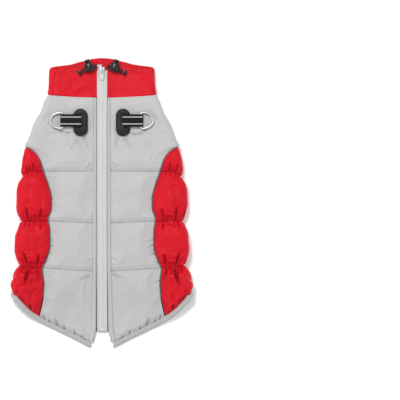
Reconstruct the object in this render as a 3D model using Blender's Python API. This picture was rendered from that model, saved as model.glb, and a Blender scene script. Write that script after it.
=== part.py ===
"""Padded winter jacket for a dog, lying flat on its belly with the zip of its back upwards.

+Z is up from the surface it lies on, +Y runs towards the collar, and +X is to the right.
All sizes are in millimetres, and MM turns them into metres when a mesh is made.

The jacket is a tube of padded cloth pressed flat. A point of it is given by three numbers:
  girth  the distance round the body from the middle of the belly, positive towards +X,
  y      the station along the body,
  lift   the distance outside the wall's plain inner face.
From the belly a girth line runs outwards, turns up round the side fold, and comes back to the zip.
"""

import math
from collections import namedtuple

import bmesh
import bpy
from mathutils import Matrix, Vector

MM = 0.001

# ---------------------------------------------------------------- driving sizes
SEAM_GAP = 0.3  # half of the clear line between two panels, so no two walls touch
PIPING = 2.0  # diameter of the dark cord in the seam between back and side
PIPING_LIFT = 2.6  # height of its middle over the inner face
PIPING_GAP = 1.6  # half of the clear line that it lies in
THINNEST = 1.8  # least thickness of padded cloth
SEAM_LIFT = 3.0  # thickness of any panel where it is sewn to the next
RED_LIFT = 12.5  # thickness of a red quilted channel at its crown
GREY_LIFT = 7.0  # thickness of the lightly padded grey back
CHEST_LIFT = 6.6  # thickness of the smooth chest
COLLAR_LIFT, COLLAR_EDGE_LIFT = 4.2, 2.6  # thickness of the doubled collar, and at its edges
COLLAR_EDGE_X = 9.0  # the collar ends here on each side of the zip
COLLAR_COLUMNS, COLLAR_ROWS = 36, 4
FOLD_RADIUS = 3.5  # inside radius of the side fold
ROUND_RADIUS = 12.5  # radius on which girth is measured round the fold
FOLD_TURN = math.pi * ROUND_RADIUS
MIDDLE_GAP = 3.4  # clear height between belly and back, where the lining lies
GAP_RISE = 34.0  # the gap widens to the fold over this width
BINDING = 8.5  # visible width of the edge tape
BINDING_LIFT = 4.4
LINING_CLEAR = 1.1
LINING = 0.9
TAIL_REST = 2.4  # height of the back's inner face where only the floor is under it
TAIL_TOP_Y = -76.0  # its bend begins here beside the zip
TAIL_DROOP = 95.0  # the back comes down to the floor over this length past the belly's hem

# ---------------------------------------------------------------- tables of the cut
# y, half width of the inner face at the fold, height of the belly's inner face
Station = namedtuple("Station", "y fold_x belly_z")
STATIONS = (
    Station(236, 79.5, 4.6),
    Station(214, 80.2, 5.4),
    Station(172, 83.2, 7.8),
    Station(165, 86.0, 8.0),
    Station(152, 90.5, 8.2),
    Station(126, 104.0, 9.0),
    Station(101, 113.8, 9.8),
    Station(91, 118.0, 10.0),
    Station(66, 117.6, 10.0),
    Station(43, 123.4, 10.0),
    Station(0, 124.2, 10.0),
    Station(-29, 125.6, 10.0),
    Station(-65, 127.0, 10.0),
    Station(-99, 128.6, 10.0),
    Station(-120, 133.0, 10.0),
    Station(-136, 139.0, 10.0),
    Station(-150, 143.0, 10.0),
    Station(-165, 143.0, 10.0),
    Station(-240, 143.0, 10.0),
)
# seam between the grey back and the red side, x from the zip
BackSeam = namedtuple("BackSeam", "y x")
BACK_SEAM = (
    BackSeam(91, 132.0),
    BackSeam(88, 119.0),
    BackSeam(82, 108.0),
    BackSeam(69, 99.0),
    BackSeam(50, 93.0),
    BackSeam(24, 84.0),
    BackSeam(8, 80.5),
    BackSeam(-8, 80.5),
    BackSeam(-26, 85.5),
    BackSeam(-45, 83.0),
    BackSeam(-69, 83.0),
    BackSeam(-90, 88.5),
    BackSeam(-106, 95.0),
    BackSeam(-130, 93.0),
    BackSeam(-150, 94.5),
    BackSeam(-190, 103.0),
)
# seam between the grey shoulder and the red chest, girth from the middle of the belly
ChestSeam = namedtuple("ChestSeam", "y girth")
CHEST_SEAM = (
    ChestSeam(180, 64.0),
    ChestSeam(172, 66.0),
    ChestSeam(158, 72.0),
    ChestSeam(146, 77.5),
    ChestSeam(133, 83.4),
)
# seam between the belly and the side, girth from the middle of the belly
BellySeam = namedtuple("BellySeam", "y girth")
BELLY_SEAM = (BellySeam(60, 78.0), BellySeam(-42, 78.0), BellySeam(-110, 87.0))
# outer edge of the hem: y on the back and y on the belly at each half width
HemRow = namedtuple("HemRow", "x back_y belly_y")
HEM = (
    HemRow(0, -238.5, -79.0),
    HemRow(17, -233.2, -81.5),
    HemRow(45, -219.0, -89.5),
    HemRow(71, -206.5, -100.5),
    HemRow(97, -193.5, -111.0),
    HemRow(117, -180.5, -119.5),
    HemRow(131.5, -166.5, -130.5),
    HemRow(142, -155.5, -139.5),
    HemRow(150, -149.0, -146.0),
)
# top edge of the collar: y on the back and y on the belly at each half width
CollarRow = namedtuple("CollarRow", "x back_y belly_y")
COLLAR_TOP = (
    CollarRow(0, 224.0, 232.8),
    CollarRow(9, 226.0, 232.4),
    CollarRow(15, 231.5, 231.0),
    CollarRow(24, 226.0, 229.0),
    CollarRow(38, 218.5, 226.0),
    CollarRow(51, 215.8, 222.4),
    CollarRow(90, 214.4, 217.5),
)
# the zip's covering strip: x of its free edge and of its seam to the back panel
PlacketRow = namedtuple("PlacketRow", "y edge_x seam_x")
PLACKET = (
    PlacketRow(180, 8.6, 12.9),
    PlacketRow(20, 8.6, 13.5),
    PlacketRow(-90, 8.6, 14.2),
    PlacketRow(-155, 9.2, 15.8),
    PlacketRow(-190, 9.4, 17.0),
    PlacketRow(-206, 10.0, 18.2),
    PlacketRow(-219, 13.8, 20.2),
    PlacketRow(-240, 19.0, 24.5),
)
# quilt lines: their y on the belly, at the side fold, at the back seam and beside the zip
QuiltLine = namedtuple("QuiltLine", "belly_y fold_y back_y zip_y")
QUILT_LINES = (
    QuiltLine(27.0, 43.0, 51.0, 52.0),
    QuiltLine(-42.0, -29.0, -28.5, -32.0),
    QuiltLine(-106.0, -99.0, -103.5, -110.0),
)
# soft folds of the chest, from one end to the other; each is mirrored
Crease = namedtuple("Crease", "x0 y0 x1 y1 depth width")
CHEST_CREASES = (
    Crease(54, 162, 59, 122, 1.8, 5.0),
    Crease(27, 99, 0, 107, 2.2, 5.0),
    Crease(31, 100, 12, 88, 2.4, 4.0),
    Crease(14, 88, 0, 83, 3.0, 4.5),
    Crease(30, 66, 14, 76, 1.8, 4.0),
    Crease(14, 34, 5, 60, 1.6, 5.0),
)
BACK_CREASES = (
    Crease(42, 104, 84, 112, 1.5, 6.0),
    Crease(34, 96, 22, 84, 1.3, 4.0),
    Crease(20, -113, 32, -121, 1.2, 4.0),
)

# ---------------------------------------------------------------- armhole
ARMHOLE_GIRTH, ARMHOLE_Y = 76.8, 86.4
ARMHOLE_HALF_WIDTH, ARMHOLE_HALF_HEIGHT = 45.6, 47.0
ARMHOLE_POWER = 2.25  # 2 is an ellipse, more is squarer
ARMHOLE_LEAN = 0.14  # its top leans out towards the side
ARMHOLE_STEPS = 28
VEE_BOTTOM = (14.6, 29.6)  # girth and y where the chest's point meets the belly
VEE_TOP_Y = 57.6
SIDE_TOP_Y = 91.0  # where grey back, red side and armhole meet

# ---------------------------------------------------------------- zip, rings and cord locks
TAPE_HALF, TAPE_LOW, TAPE_THICK = 8.2, 1.6, 1.0
CHAIN_HALF, CHAIN_LOW, CHAIN_THICK = 2.9, 1.2, 2.2
ZIP_TOP, ZIP_BOTTOM_Y = {"left": 222.0, "right": 213.0}, -205.5
FACING_HALF = 14.0
SLIDER_Y, SLIDER_LENGTH, SLIDER_WIDTH, SLIDER_HEIGHT = 213.0, 11.0, 8.6, 3.2
BAIL_RADIUS, BAIL_WIRE = 4.2, 1.5
TAB_LENGTH, TAB_WIDTH, TAB_THICK, TAB_TILT = 16.0, 6.0, 1.2, math.radians(4)
PATCH_X, PATCH_Y, PATCH_HALF_WIDTH, PATCH_HALF_HEIGHT = 34.0, 129.0, 11.6, 22.0
PATCH_THICK = 2.2
WEB_WIDTH, WEB_THICK, WEB_Y = 20.0, 2.6, 132.0
RING_WIRE, RING_BAR_X, RING_DEPTH, RING_HALF_HEIGHT = 3.2, 63.0, 19.0, 12.7
CHEST_RING_WIRE, CHEST_RING_DEPTH, CHEST_RING_HALF_WIDTH = 2.4, 12.6, 7.6
CHEST_RING_Y, CHEST_RING_Z = 184.3, 2.4
RING_ROOM = 5.2  # clear height under the chest and collar where the ring lies
RIBBON_WIDTH, RIBBON_THICK = 11.4, 0.7
LOCK_X, LOCK_Y, LOCK_LEAN = 21.0, 219.5, math.radians(18)
LOCK_HALF_WIDTH, LOCK_HALF_THICK = 7.4, 4.8
CORD_DIAMETER, CORD_SPACING, CORD_PLACE = 2.4, 4.0, -4.4
CORD_END = (35.7, 209.0)

# ---------------------------------------------------------------- colours: base colour, roughness, metallic
RED = ((0.72, 0.02, 0.035), 0.55, 0.0)
GREY = ((0.56, 0.56, 0.56), 0.5, 0.0)
EDGE_GREY = ((0.50, 0.50, 0.50), 0.55, 0.0)
BLACK_CLOTH = ((0.012, 0.012, 0.013), 0.6, 0.0)
PIPING_GREY = ((0.10, 0.12, 0.12), 0.5, 0.0)
BLACK_PLASTIC = ((0.015, 0.015, 0.015), 0.4, 0.0)
ZIP_GREY = ((0.66, 0.66, 0.66), 0.45, 0.0)
STEEL = ((0.62, 0.62, 0.62), 0.25, 1.0)
RIBBON_WHITE = ((0.75, 0.75, 0.75), 0.5, 0.0)


# ---------------------------------------------------------------- curves through the tables
def curve(rows, along, value):
    """A smooth function through the rows' (along, value) that never overshoots them."""
    pairs = sorted((getattr(row, along), getattr(row, value)) for row in rows)
    xs, ys = [p[0] for p in pairs], [p[1] for p in pairs]
    steps = [(ys[i + 1] - ys[i]) / (xs[i + 1] - xs[i]) for i in range(len(xs) - 1)]
    slopes = [steps[0]]
    for before, after in zip(steps, steps[1:]):
        same_way = before * after > 0
        slopes.append(2 * before * after / (before + after) if same_way else 0.0)
    slopes.append(steps[-1])

    def at(x):
        x = min(max(x, xs[0]), xs[-1])
        i = next((k for k in range(len(xs) - 2) if x < xs[k + 1]), len(xs) - 2)
        width = xs[i + 1] - xs[i]
        t = (x - xs[i]) / width
        rise = 3 * t * t - 2 * t**3
        lead_in = t * (1 - t) ** 2 * width * slopes[i]
        lead_out = t * t * (t - 1) * width * slopes[i + 1]
        return ys[i] + rise * (ys[i + 1] - ys[i]) + lead_in + lead_out

    return at


fold_x = curve(STATIONS, "y", "fold_x")
belly_z = curve(STATIONS, "y", "belly_z")
back_seam_x = curve(BACK_SEAM, "y", "x")
chest_seam = curve(CHEST_SEAM, "y", "girth")
belly_seam = curve(BELLY_SEAM, "y", "girth")
hem_back_y = curve(HEM, "x", "back_y")
hem_belly_y = curve(HEM, "x", "belly_y")
collar_back_y = curve(COLLAR_TOP, "x", "back_y")
collar_belly_y = curve(COLLAR_TOP, "x", "belly_y")
placket_edge_x = curve(PLACKET, "y", "edge_x")
placket_seam_x = curve(PLACKET, "y", "seam_x")


def ease(t):
    """0 to 1 with flat ends."""
    t = min(max(t, 0.0), 1.0)
    return t * t * (3 - 2 * t)


def rounded(distance, radius):
    """Height of a quarter round of height 1 at a distance from its foot."""
    t = min(max(distance / radius, 0.0), 1.0)
    return math.sqrt(1 - (1 - t) ** 2)


# ---------------------------------------------------------------- the flattened tube
def flat_half(y):
    """Half width of the flat part, where the side fold begins."""
    return fold_x(y) - FOLD_RADIUS


def half_girth(y):
    """Girth from the middle of the belly to the middle of the back."""
    return 2 * flat_half(y) + FOLD_TURN


def back_girth(x, y):
    """Girth of the point of the back at that x, also where it is on the fold."""
    flat = flat_half(y)
    if x <= flat:
        return half_girth(y) - x
    return flat + ROUND_RADIUS * (math.pi - math.asin(min((x - flat) / ROUND_RADIUS, 1.0)))


def back_z(x, y):
    """Height of the back's inner face: over the belly, and down to the floor behind the belly's hem."""
    flat = flat_half(y)
    gap = MIDDLE_GAP + (2 * FOLD_RADIUS - MIDDLE_GAP) * ease((x - flat + GAP_RISE) / GAP_RISE)
    past_hem = hem_belly_y(x) - y
    droop = ease((past_hem - 4.0) / TAIL_DROOP) * ease((flat - x) / 50.0)
    over_belly = belly_z(y) + gap
    return over_belly + (TAIL_REST - over_belly) * droop


def skin(girth, y, lift):
    """The point of the jacket at that girth, station and lift. No point goes below the floor."""
    side, g, flat = math.copysign(1.0, girth), abs(girth), flat_half(y)
    if g <= flat:
        x, z = g, belly_z(y) - lift
    elif g < flat + FOLD_TURN:
        turn = (g - flat) / ROUND_RADIUS
        x = flat + (FOLD_RADIUS + lift) * math.sin(turn)
        z = belly_z(y) + FOLD_RADIUS - (FOLD_RADIUS + lift) * math.cos(turn)
    else:
        x = half_girth(y) - g
        z = back_z(x, y) + lift
    return Vector((side * x, y, max(z, 0.0)))


def on_edge(girth, back, belly):
    """y of an edge that has one curve on the back, one on the belly, and runs smoothly round the fold."""
    g, flat = abs(girth), flat_half(belly(80.0))
    for _ in range(3):
        y = _edge_y(g, flat, back, belly)
        flat = flat_half(y)
    return _edge_y(g, flat, back, belly)


def _edge_y(g, flat, back, belly):
    if g <= flat:
        return belly(g)
    if g >= flat + FOLD_TURN:
        return back(max(2 * flat + FOLD_TURN - g, 0.0))
    turn = (g - flat) / FOLD_TURN
    return belly(flat) + (back(flat) - belly(flat)) * turn


def hem_y(girth):
    return on_edge(girth, hem_back_y, hem_belly_y)


def hem_stretch(girth):
    """Length along the body of 1 mm across the hem, which runs at a slant."""
    slope = (hem_y(abs(girth) + 1.0) - hem_y(abs(girth) - 1.0)) / 2.0
    return math.sqrt(1 + slope * slope)


def hem_seam_y(girth):
    """Where the panels end and the edge tape begins."""
    return hem_y(girth) + BINDING * hem_stretch(girth)


def collar_top_y(girth):
    return on_edge(girth, collar_back_y, collar_belly_y)


def collar_seam_y(girth):
    """Seam of the collar: 179 at the middle of the chest, 169.6 at the zip."""
    share = min(abs(girth) / half_girth(171.0), 1.0)
    return 174.3 + 4.7 * math.cos(math.pi * share)


def quilt_y(line, girth, y):
    """y of a quilt line, from the belly round the fold to the back seam and on to the zip."""
    g, fold = abs(girth), flat_half(y) + FOLD_TURN / 2
    seam = back_girth(back_seam_x(y), y)
    if g <= fold:
        return line.belly_y + (line.fold_y - line.belly_y) * ease((g - 78.0) / (fold - 78.0))
    if g <= seam:
        return line.fold_y + (line.back_y - line.fold_y) * ease((g - fold) / (seam - fold))
    return line.back_y + (line.zip_y - line.back_y) * (g - seam) / (half_girth(y) - seam)


# ---------------------------------------------------------------- armhole outline
def armhole_point(turn, inset=0.0):
    """Girth and y on the armhole's outline, inset towards its middle."""
    wide, high = ARMHOLE_HALF_WIDTH - inset, ARMHOLE_HALF_HEIGHT - inset
    c, s = math.cos(turn), math.sin(turn)
    across = wide * math.copysign(abs(c) ** (2 / ARMHOLE_POWER), c)
    up = high * math.copysign(abs(s) ** (2 / ARMHOLE_POWER), s)
    return ARMHOLE_GIRTH + across + ARMHOLE_LEAN * up, ARMHOLE_Y + up


def armhole_girth(y, outward):
    """Girth of the armhole's outer (+1) or inner (-1) side at a station."""
    up = min(max((y - ARMHOLE_Y) / ARMHOLE_HALF_HEIGHT, -1.0), 1.0)
    across = ARMHOLE_HALF_WIDTH * (1 - abs(up) ** ARMHOLE_POWER) ** (1 / ARMHOLE_POWER)
    return ARMHOLE_GIRTH + ARMHOLE_LEAN * up * ARMHOLE_HALF_HEIGHT + outward * across


def armhole_bottom_y(girth):
    """y of the armhole's lower side at a girth."""
    drop = 0.0
    for _ in range(12):
        across = (girth - ARMHOLE_GIRTH + ARMHOLE_LEAN * drop) / ARMHOLE_HALF_WIDTH
        inside = max(1 - min(abs(across), 1.0) ** ARMHOLE_POWER, 0.0)
        drop = ARMHOLE_HALF_HEIGHT * inside ** (1 / ARMHOLE_POWER)
    return ARMHOLE_Y - drop


def armhole_rows(first, last):
    """Stations of the armhole's corner points between two of them, top first."""
    turns = [math.pi / 2 - 2 * math.pi * k / ARMHOLE_STEPS for k in range(ARMHOLE_STEPS // 2 + 1)]
    return [y for y in (armhole_point(t)[1] for t in turns) if last < y < first]


# ---------------------------------------------------------------- making objects
def material(name, finish):
    colour, roughness, metallic = finish
    made = bpy.data.materials.get(name) or bpy.data.materials.new(name)
    made.use_nodes = True
    shader = made.node_tree.nodes["Principled BSDF"]
    shader.inputs["Base Color"].default_value = (*colour, 1.0)
    shader.inputs["Roughness"].default_value = roughness
    shader.inputs["Metallic"].default_value = metallic
    return made


def add_object(name, mesh_or_curve, finish, origin=(0, 0, 0)):
    made = bpy.data.objects.new(name, mesh_or_curve)
    made.location = Vector(origin) * MM
    mesh_or_curve.materials.append(material(name + "_finish", finish))
    bpy.context.collection.objects.link(made)
    return made


def mesh_object(name, bm, finish, origin=(0, 0, 0), smooth_below=40.0):
    """A finished mesh in metres from a bmesh in millimetres, shaded smooth between soft edges."""
    bmesh.ops.recalc_face_normals(bm, faces=bm.faces[:])
    bmesh.ops.transform(bm, matrix=Matrix.Scale(MM, 4), verts=bm.verts[:])
    mesh = bpy.data.meshes.new(name)
    bm.to_mesh(mesh)
    bm.free()
    mesh.shade_smooth()
    mesh.set_sharp_from_angle(angle=math.radians(smooth_below))
    return add_object(name, mesh, finish, origin)


def wall(name, finish, outer, inner, row_step=1, column_step=1, keep=()):
    """A closed wall of cloth. outer and inner are rows of points of one size. Away from its border the plain inner
    face has only every row_step-th row, the rows in keep, and every column_step-th column."""
    bm = bmesh.new()
    last_row, last = len(outer) - 1, len(outer[0]) - 1
    kept_rows = sorted({*range(0, last_row, row_step), last_row, *keep})
    kept_columns = sorted({*range(0, last, column_step), last})
    out = [[bm.verts.new(p) for p in row] for row in outer]
    ins = {}
    for j, row in enumerate(inner):
        for i, p in enumerate(row):
            on_border = j in (0, last_row) or i in (0, last)
            if on_border or (j in kept_rows and i in kept_columns):
                ins[i, j] = bm.verts.new(p)
    for j in range(last_row):
        for i in range(last):
            bm.faces.new((out[j][i], out[j][i + 1], out[j + 1][i + 1], out[j + 1][i]))
    for top, bottom in zip(kept_rows, kept_rows[1:]):
        for first, second in zip(kept_columns, kept_columns[1:]):
            upper = [ins[i, top] for i in range(first, second + 1) if (i, top) in ins]
            lower = [ins[i, bottom] for i in range(second, first - 1, -1) if (i, bottom) in ins]
            far = [ins[second, j] for j in range(top + 1, bottom) if (second, j) in ins]
            near = [ins[first, j] for j in range(bottom - 1, top, -1) if (first, j) in ins]
            bm.faces.new((upper + far + lower + near)[::-1])
    for j in range(last_row):
        bm.faces.new((out[j][0], out[j + 1][0], ins[0, j + 1], ins[0, j]))
        bm.faces.new((out[j + 1][last], out[j][last], ins[last, j], ins[last, j + 1]))
    for i in range(last):
        bm.faces.new((out[0][i + 1], out[0][i], ins[i, 0], ins[i + 1, 0]))
        bm.faces.new((out[-1][i], out[-1][i + 1], ins[i + 1, last_row], ins[i, last_row]))
    bmesh.ops.triangulate(bm, faces=[f for f in bm.faces if len(f.verts) > 4])
    return mesh_object(name, bm, finish)


def tube_of_rings(name, finish, rings, closed=False, origin=(0, 0, 0), smooth_below=40.0):
    """A solid from rings of points that follow one another. An open one gets flat ends."""
    bm = bmesh.new()
    loops = [[bm.verts.new(p) for p in ring] for ring in rings]
    following = loops[1:] + loops[:1] if closed else loops[1:]
    for loop, ahead in zip(loops, following):
        for k in range(len(loop)):
            n = (k + 1) % len(loop)
            bm.faces.new((loop[k], loop[n], ahead[n], ahead[k]))
    if not closed:
        bm.faces.new(loops[0])
        bm.faces.new(loops[-1])
    return mesh_object(name, bm, finish, origin, smooth_below)


def plate(name, finish, outline, thickness, hole=(), origin=(0, 0, 0), matrix=None):
    """A flat plate from an outline in its own XY plane, with one hole or none, as thick above as below."""
    bm = bmesh.new()
    edges = []
    for loop in filter(None, (outline, hole)):
        points = [bm.verts.new((x, y, -thickness / 2)) for x, y in loop]
        edges += [bm.edges.new((points[k - 1], points[k])) for k in range(len(points))]
    bmesh.ops.triangle_fill(bm, edges=edges, use_beauty=True)
    raised = bmesh.ops.extrude_face_region(bm, geom=bm.faces[:])["geom"]
    top = [v for v in raised if isinstance(v, bmesh.types.BMVert)]
    bmesh.ops.translate(bm, verts=top, vec=(0, 0, thickness))
    if matrix is not None:
        bmesh.ops.transform(bm, matrix=matrix, verts=bm.verts[:])
    return mesh_object(name, bm, finish, origin)


def combine(base, other, operation):
    """Cuts or joins another object with a Boolean, and keeps the other out of the model."""
    other.hide_render = True
    other.display_type = "WIRE"
    change = base.modifiers.new(operation.lower(), "BOOLEAN")
    change.operation = operation
    change.object = other
    return base


def rod(name, finish, points, diameter, closed=False, origin=(0, 0, 0), fine=2):
    """A round wire or cord along a list of points."""
    data = bpy.data.curves.new(name, "CURVE")
    data.dimensions = "3D"
    spline = data.splines.new("POLY")
    spline.points.add(len(points) - 1)
    for control, p in zip(spline.points, points):
        control.co = (*(Vector(p) * MM), 1.0)
    spline.use_cyclic_u = closed
    data.bevel_depth = diameter / 2 * MM
    data.bevel_resolution = fine
    data.use_fill_caps = not closed
    return add_object(name, data, finish, origin)


def through(points, spacing):
    """Evenly spaced points on a smooth curve through a few points chosen by hand."""
    points = [Vector(p) for p in points]
    ends = [2 * points[0] - points[1], *points, 2 * points[-1] - points[-2]]
    fine = []
    for before, start, stop, after in zip(ends, ends[1:], ends[2:], ends[3:]):
        for k in range(16):
            t = k / 16
            pull = (stop - before) * 0.5 * (t - 2 * t * t + t**3)
            push = (after - start) * 0.5 * (t**3 - t * t)
            fine.append(start * (1 - 3 * t * t + 2 * t**3) + stop * (3 * t * t - 2 * t**3) + pull + push)
    fine.append(points[-1])
    lengths = [0.0]
    for a, b in zip(fine, fine[1:]):
        lengths.append(lengths[-1] + (b - a).length)
    count = max(2, round(lengths[-1] / spacing))
    found, i = [], 0
    for k in range(count + 1):
        wanted = lengths[-1] * k / count
        while i < len(fine) - 2 and lengths[i + 1] < wanted:
            i += 1
        share = (wanted - lengths[i]) / (lengths[i + 1] - lengths[i])
        found.append(fine[i].lerp(fine[i + 1], share))
    return found


# ---------------------------------------------------------------- cloth panels
def crease_depth(creases, x, y):
    """How far the soft folds press the cloth in at a point."""
    depth = 0.0
    for c in creases:
        start, span = Vector((c.x0, c.y0)), Vector((c.x1 - c.x0, c.y1 - c.y0))
        here = Vector((abs(x), y)) - start
        along = min(max(here.dot(span) / span.length_squared, 0.0), 1.0)
        away = (here - span * along).length
        depth += c.depth * math.exp(-((away / c.width) ** 2))
    return depth


def gather_depth(distance, index):
    """Depth of one gather at a distance from its quilt line. Some run further than others."""
    reach = 5.0 + 7.0 * ((index * 0.618) % 1.0)
    near = distance / reach
    return 4.4 * near * math.exp(1 - near) + 0.8 * math.exp(-distance / 3.0)


def spread(first, last, count):
    return [first + (last - first) * k / count for k in range(count + 1)]


def closer_at_ends(first, last, count):
    """Stations from first to last, closer together near both."""
    return [first + (last - first) * (0.5 - 0.5 * math.cos(math.pi * k / count)) for k in range(count + 1)]


def grid(left, right, levels, columns, spacing=closer_at_ends):
    """Rows of (girth, y) between two edges. left and right give an edge's girth at a station; levels are (y of a
    line across at a girth, rows down to the next level), top first."""
    steps = [(k, share) for k, (_, count) in enumerate(levels[:-1]) for share in spacing(0.0, 1.0, count)[:-1]]
    steps.append((len(levels) - 2, 1.0))
    rows = []
    for k, share in steps:
        upper, lower = levels[k][0], levels[k + 1][0]
        rows.append([])
        for i in range(columns + 1):
            y = upper(left(0.0)) * (1 - share) + lower(left(0.0)) * share
            for _ in range(10):
                girth = left(y) + i / columns * (right(y) - left(y))
                y = upper(girth) * (1 - share) + lower(girth) * share
            rows[-1].append((girth, y))
    return rows


Padding = namedtuple("Padding", "lift edge quilt quilt_share lines creases")


def panel(name, finish, padding, left, right, levels, columns, gathers=False, thin=2, keep=(), side=1):
    """One cut panel as a padded wall, and the girths of its hem. Gathers follow the columns, two columns each."""
    outer, inner = [], []
    rows = grid(left, right, levels, columns)
    for row in rows:
        outer.append([])
        inner.append([])
        for i, (girth, y) in enumerate(row):
            edges = (
                abs(girth - left(y)),
                abs(right(y) - girth),
                levels[0][0](girth) - y,
                y - levels[-1][0](girth),
            )
            puff = math.prod(rounded(d, padding.edge) for d in edges)
            lines = [abs(y - quilt_y(q, girth, y)) for q in padding.lines]
            if lines:
                puff *= 1 - padding.quilt_share * (1 - rounded(min(lines), padding.quilt))
            lift = SEAM_LIFT + (padding.lift - SEAM_LIFT) * puff
            if gathers and i % 2:
                lift -= gather_depth(min(lines + [edges[3] + 2.0]), i // 2) * puff
            place = skin(girth, y, 0.0)
            lift -= crease_depth(padding.creases, place.x, y) * puff
            lift = max(min(lift, ring_room(girth, y)), THINNEST)
            outer[-1].append(skin(side * girth, y, lift))
            inner[-1].append(skin(side * girth, y, 0.0))
    wall(name, finish, outer, inner, 2, thin, keep)
    return [side * girth for girth, _ in rows[-1]]


def ring_room(girth, y):
    """Most lift the cloth may have over the chest ring, which lies between it and the floor."""
    away = math.hypot(max(abs(girth) - 13.0, 0.0), max(166.0 - y, y - 191.0, 0.0))
    return belly_z(y) - RING_ROOM + 0.8 * away


def level(y):
    return lambda girth: y


def quilt_level(line, low=None):
    """A quilt line as a row of a panel, kept above a lower edge where the line runs off the panel."""

    def at(girth):
        y = quilt_y(line, girth, line.fold_y)
        return y if low is None else max(y, low(girth) + 14.0)

    return at


def above_hem(girth):
    """The row that rounds a panel off just above the edge tape."""
    return hem_seam_y(girth) + 3.5


def fan_level(inner_y, outer_y):
    """A row of the side panel from a corner of the armhole's outline to a station on the back seam."""
    first, last = side_inner(inner_y), back_girth(back_seam_x(outer_y), outer_y)

    def at(girth):
        share = min(max((girth - first) / (last - first), 0.0), 1.0)
        return inner_y + (outer_y - inner_y) * share

    return at


def seam_stations():
    """Stations on the back seam between its top and the first quilt line, one for each corner of the armhole."""
    return spread(SIDE_TOP_Y, QUILT_LINES[0].back_y, len(side_corners()) + 1)[1:-1]


def side_corners():
    """Stations of the armhole's corners that the side panel is sewn to."""
    return armhole_rows(SIDE_TOP_Y - 6, ARMHOLE_Y - ARMHOLE_HALF_HEIGHT - 1)


def side_levels():
    """Rows of the side panel: round the armhole, then from quilt line to quilt line, then the hem."""
    first, second, third = QUILT_LINES
    fan = [(fan_level(inner_y, seam_y), 1) for inner_y, seam_y in zip(side_corners(), seam_stations())]
    channels = [(quilt_level(first), 6), (quilt_level(second), 6), (quilt_level(third, hem_seam_y), 6)]
    return [(level(SIDE_TOP_Y - 0.8), 1)] + fan + channels + [(above_hem, 1), (hem_seam_y, 0)]


def zip_side(y):
    """Girth of the back panel's edge beside the zip's covering strip."""
    return half_girth(y) - placket_seam_x(y) - SEAM_GAP


def piping_gap(y):
    """Half of the line the piping lies in, measured along the girth where the seam runs at a slant."""
    slope = (back_girth(back_seam_x(y + 2), y + 2) - back_girth(back_seam_x(y - 2), y - 2)) / 4
    return PIPING_GAP * min(math.sqrt(1 + slope * slope), 3.5)


def grey_outer_side(y):
    """Girth of the grey back's outer edge: chest seam, then armhole, then the seam to the red side."""
    if y >= ARMHOLE_Y + ARMHOLE_HALF_HEIGHT:
        return chest_seam(y) + SEAM_GAP
    if y >= SIDE_TOP_Y + 0.5:
        return armhole_girth(y, 1) + SEAM_GAP
    return back_girth(back_seam_x(y), y) + piping_gap(y)


def side_outer(y):
    return back_girth(back_seam_x(y), y) - piping_gap(y)


def side_inner(y):
    """Girth of the red side's belly edge: armhole, then the seam to the belly."""
    around = armhole_girth(y, 1) if y > ARMHOLE_Y - ARMHOLE_HALF_HEIGHT else 0.0
    return max(belly_seam(y), around) + SEAM_GAP


def chest_side(y):
    """Girth of the chest's edge: grey shoulder, armhole, then its point."""
    if y >= ARMHOLE_Y + ARMHOLE_HALF_HEIGHT:
        return chest_seam(y) - SEAM_GAP
    if y >= VEE_TOP_Y:
        return armhole_girth(y, -1) - SEAM_GAP
    share = (y - VEE_BOTTOM[1]) / (VEE_TOP_Y - VEE_BOTTOM[1])
    top = armhole_girth(VEE_TOP_Y, -1)
    return VEE_BOTTOM[0] + (top - VEE_BOTTOM[0]) * share - SEAM_GAP


def belly_top_y(girth):
    """Upper edge of the belly: under the chest's point, up its side, then under the armhole."""
    g, top = abs(girth), armhole_girth(VEE_TOP_Y, -1)
    if g <= VEE_BOTTOM[0]:
        return VEE_BOTTOM[1] - 2 * SEAM_GAP
    if g <= top:
        share = (g - VEE_BOTTOM[0]) / (top - VEE_BOTTOM[0])
        return VEE_BOTTOM[1] + (VEE_TOP_Y - VEE_BOTTOM[1]) * share - 4 * SEAM_GAP
    return min(armhole_bottom_y(g), VEE_TOP_Y) - 2 * SEAM_GAP


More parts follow.
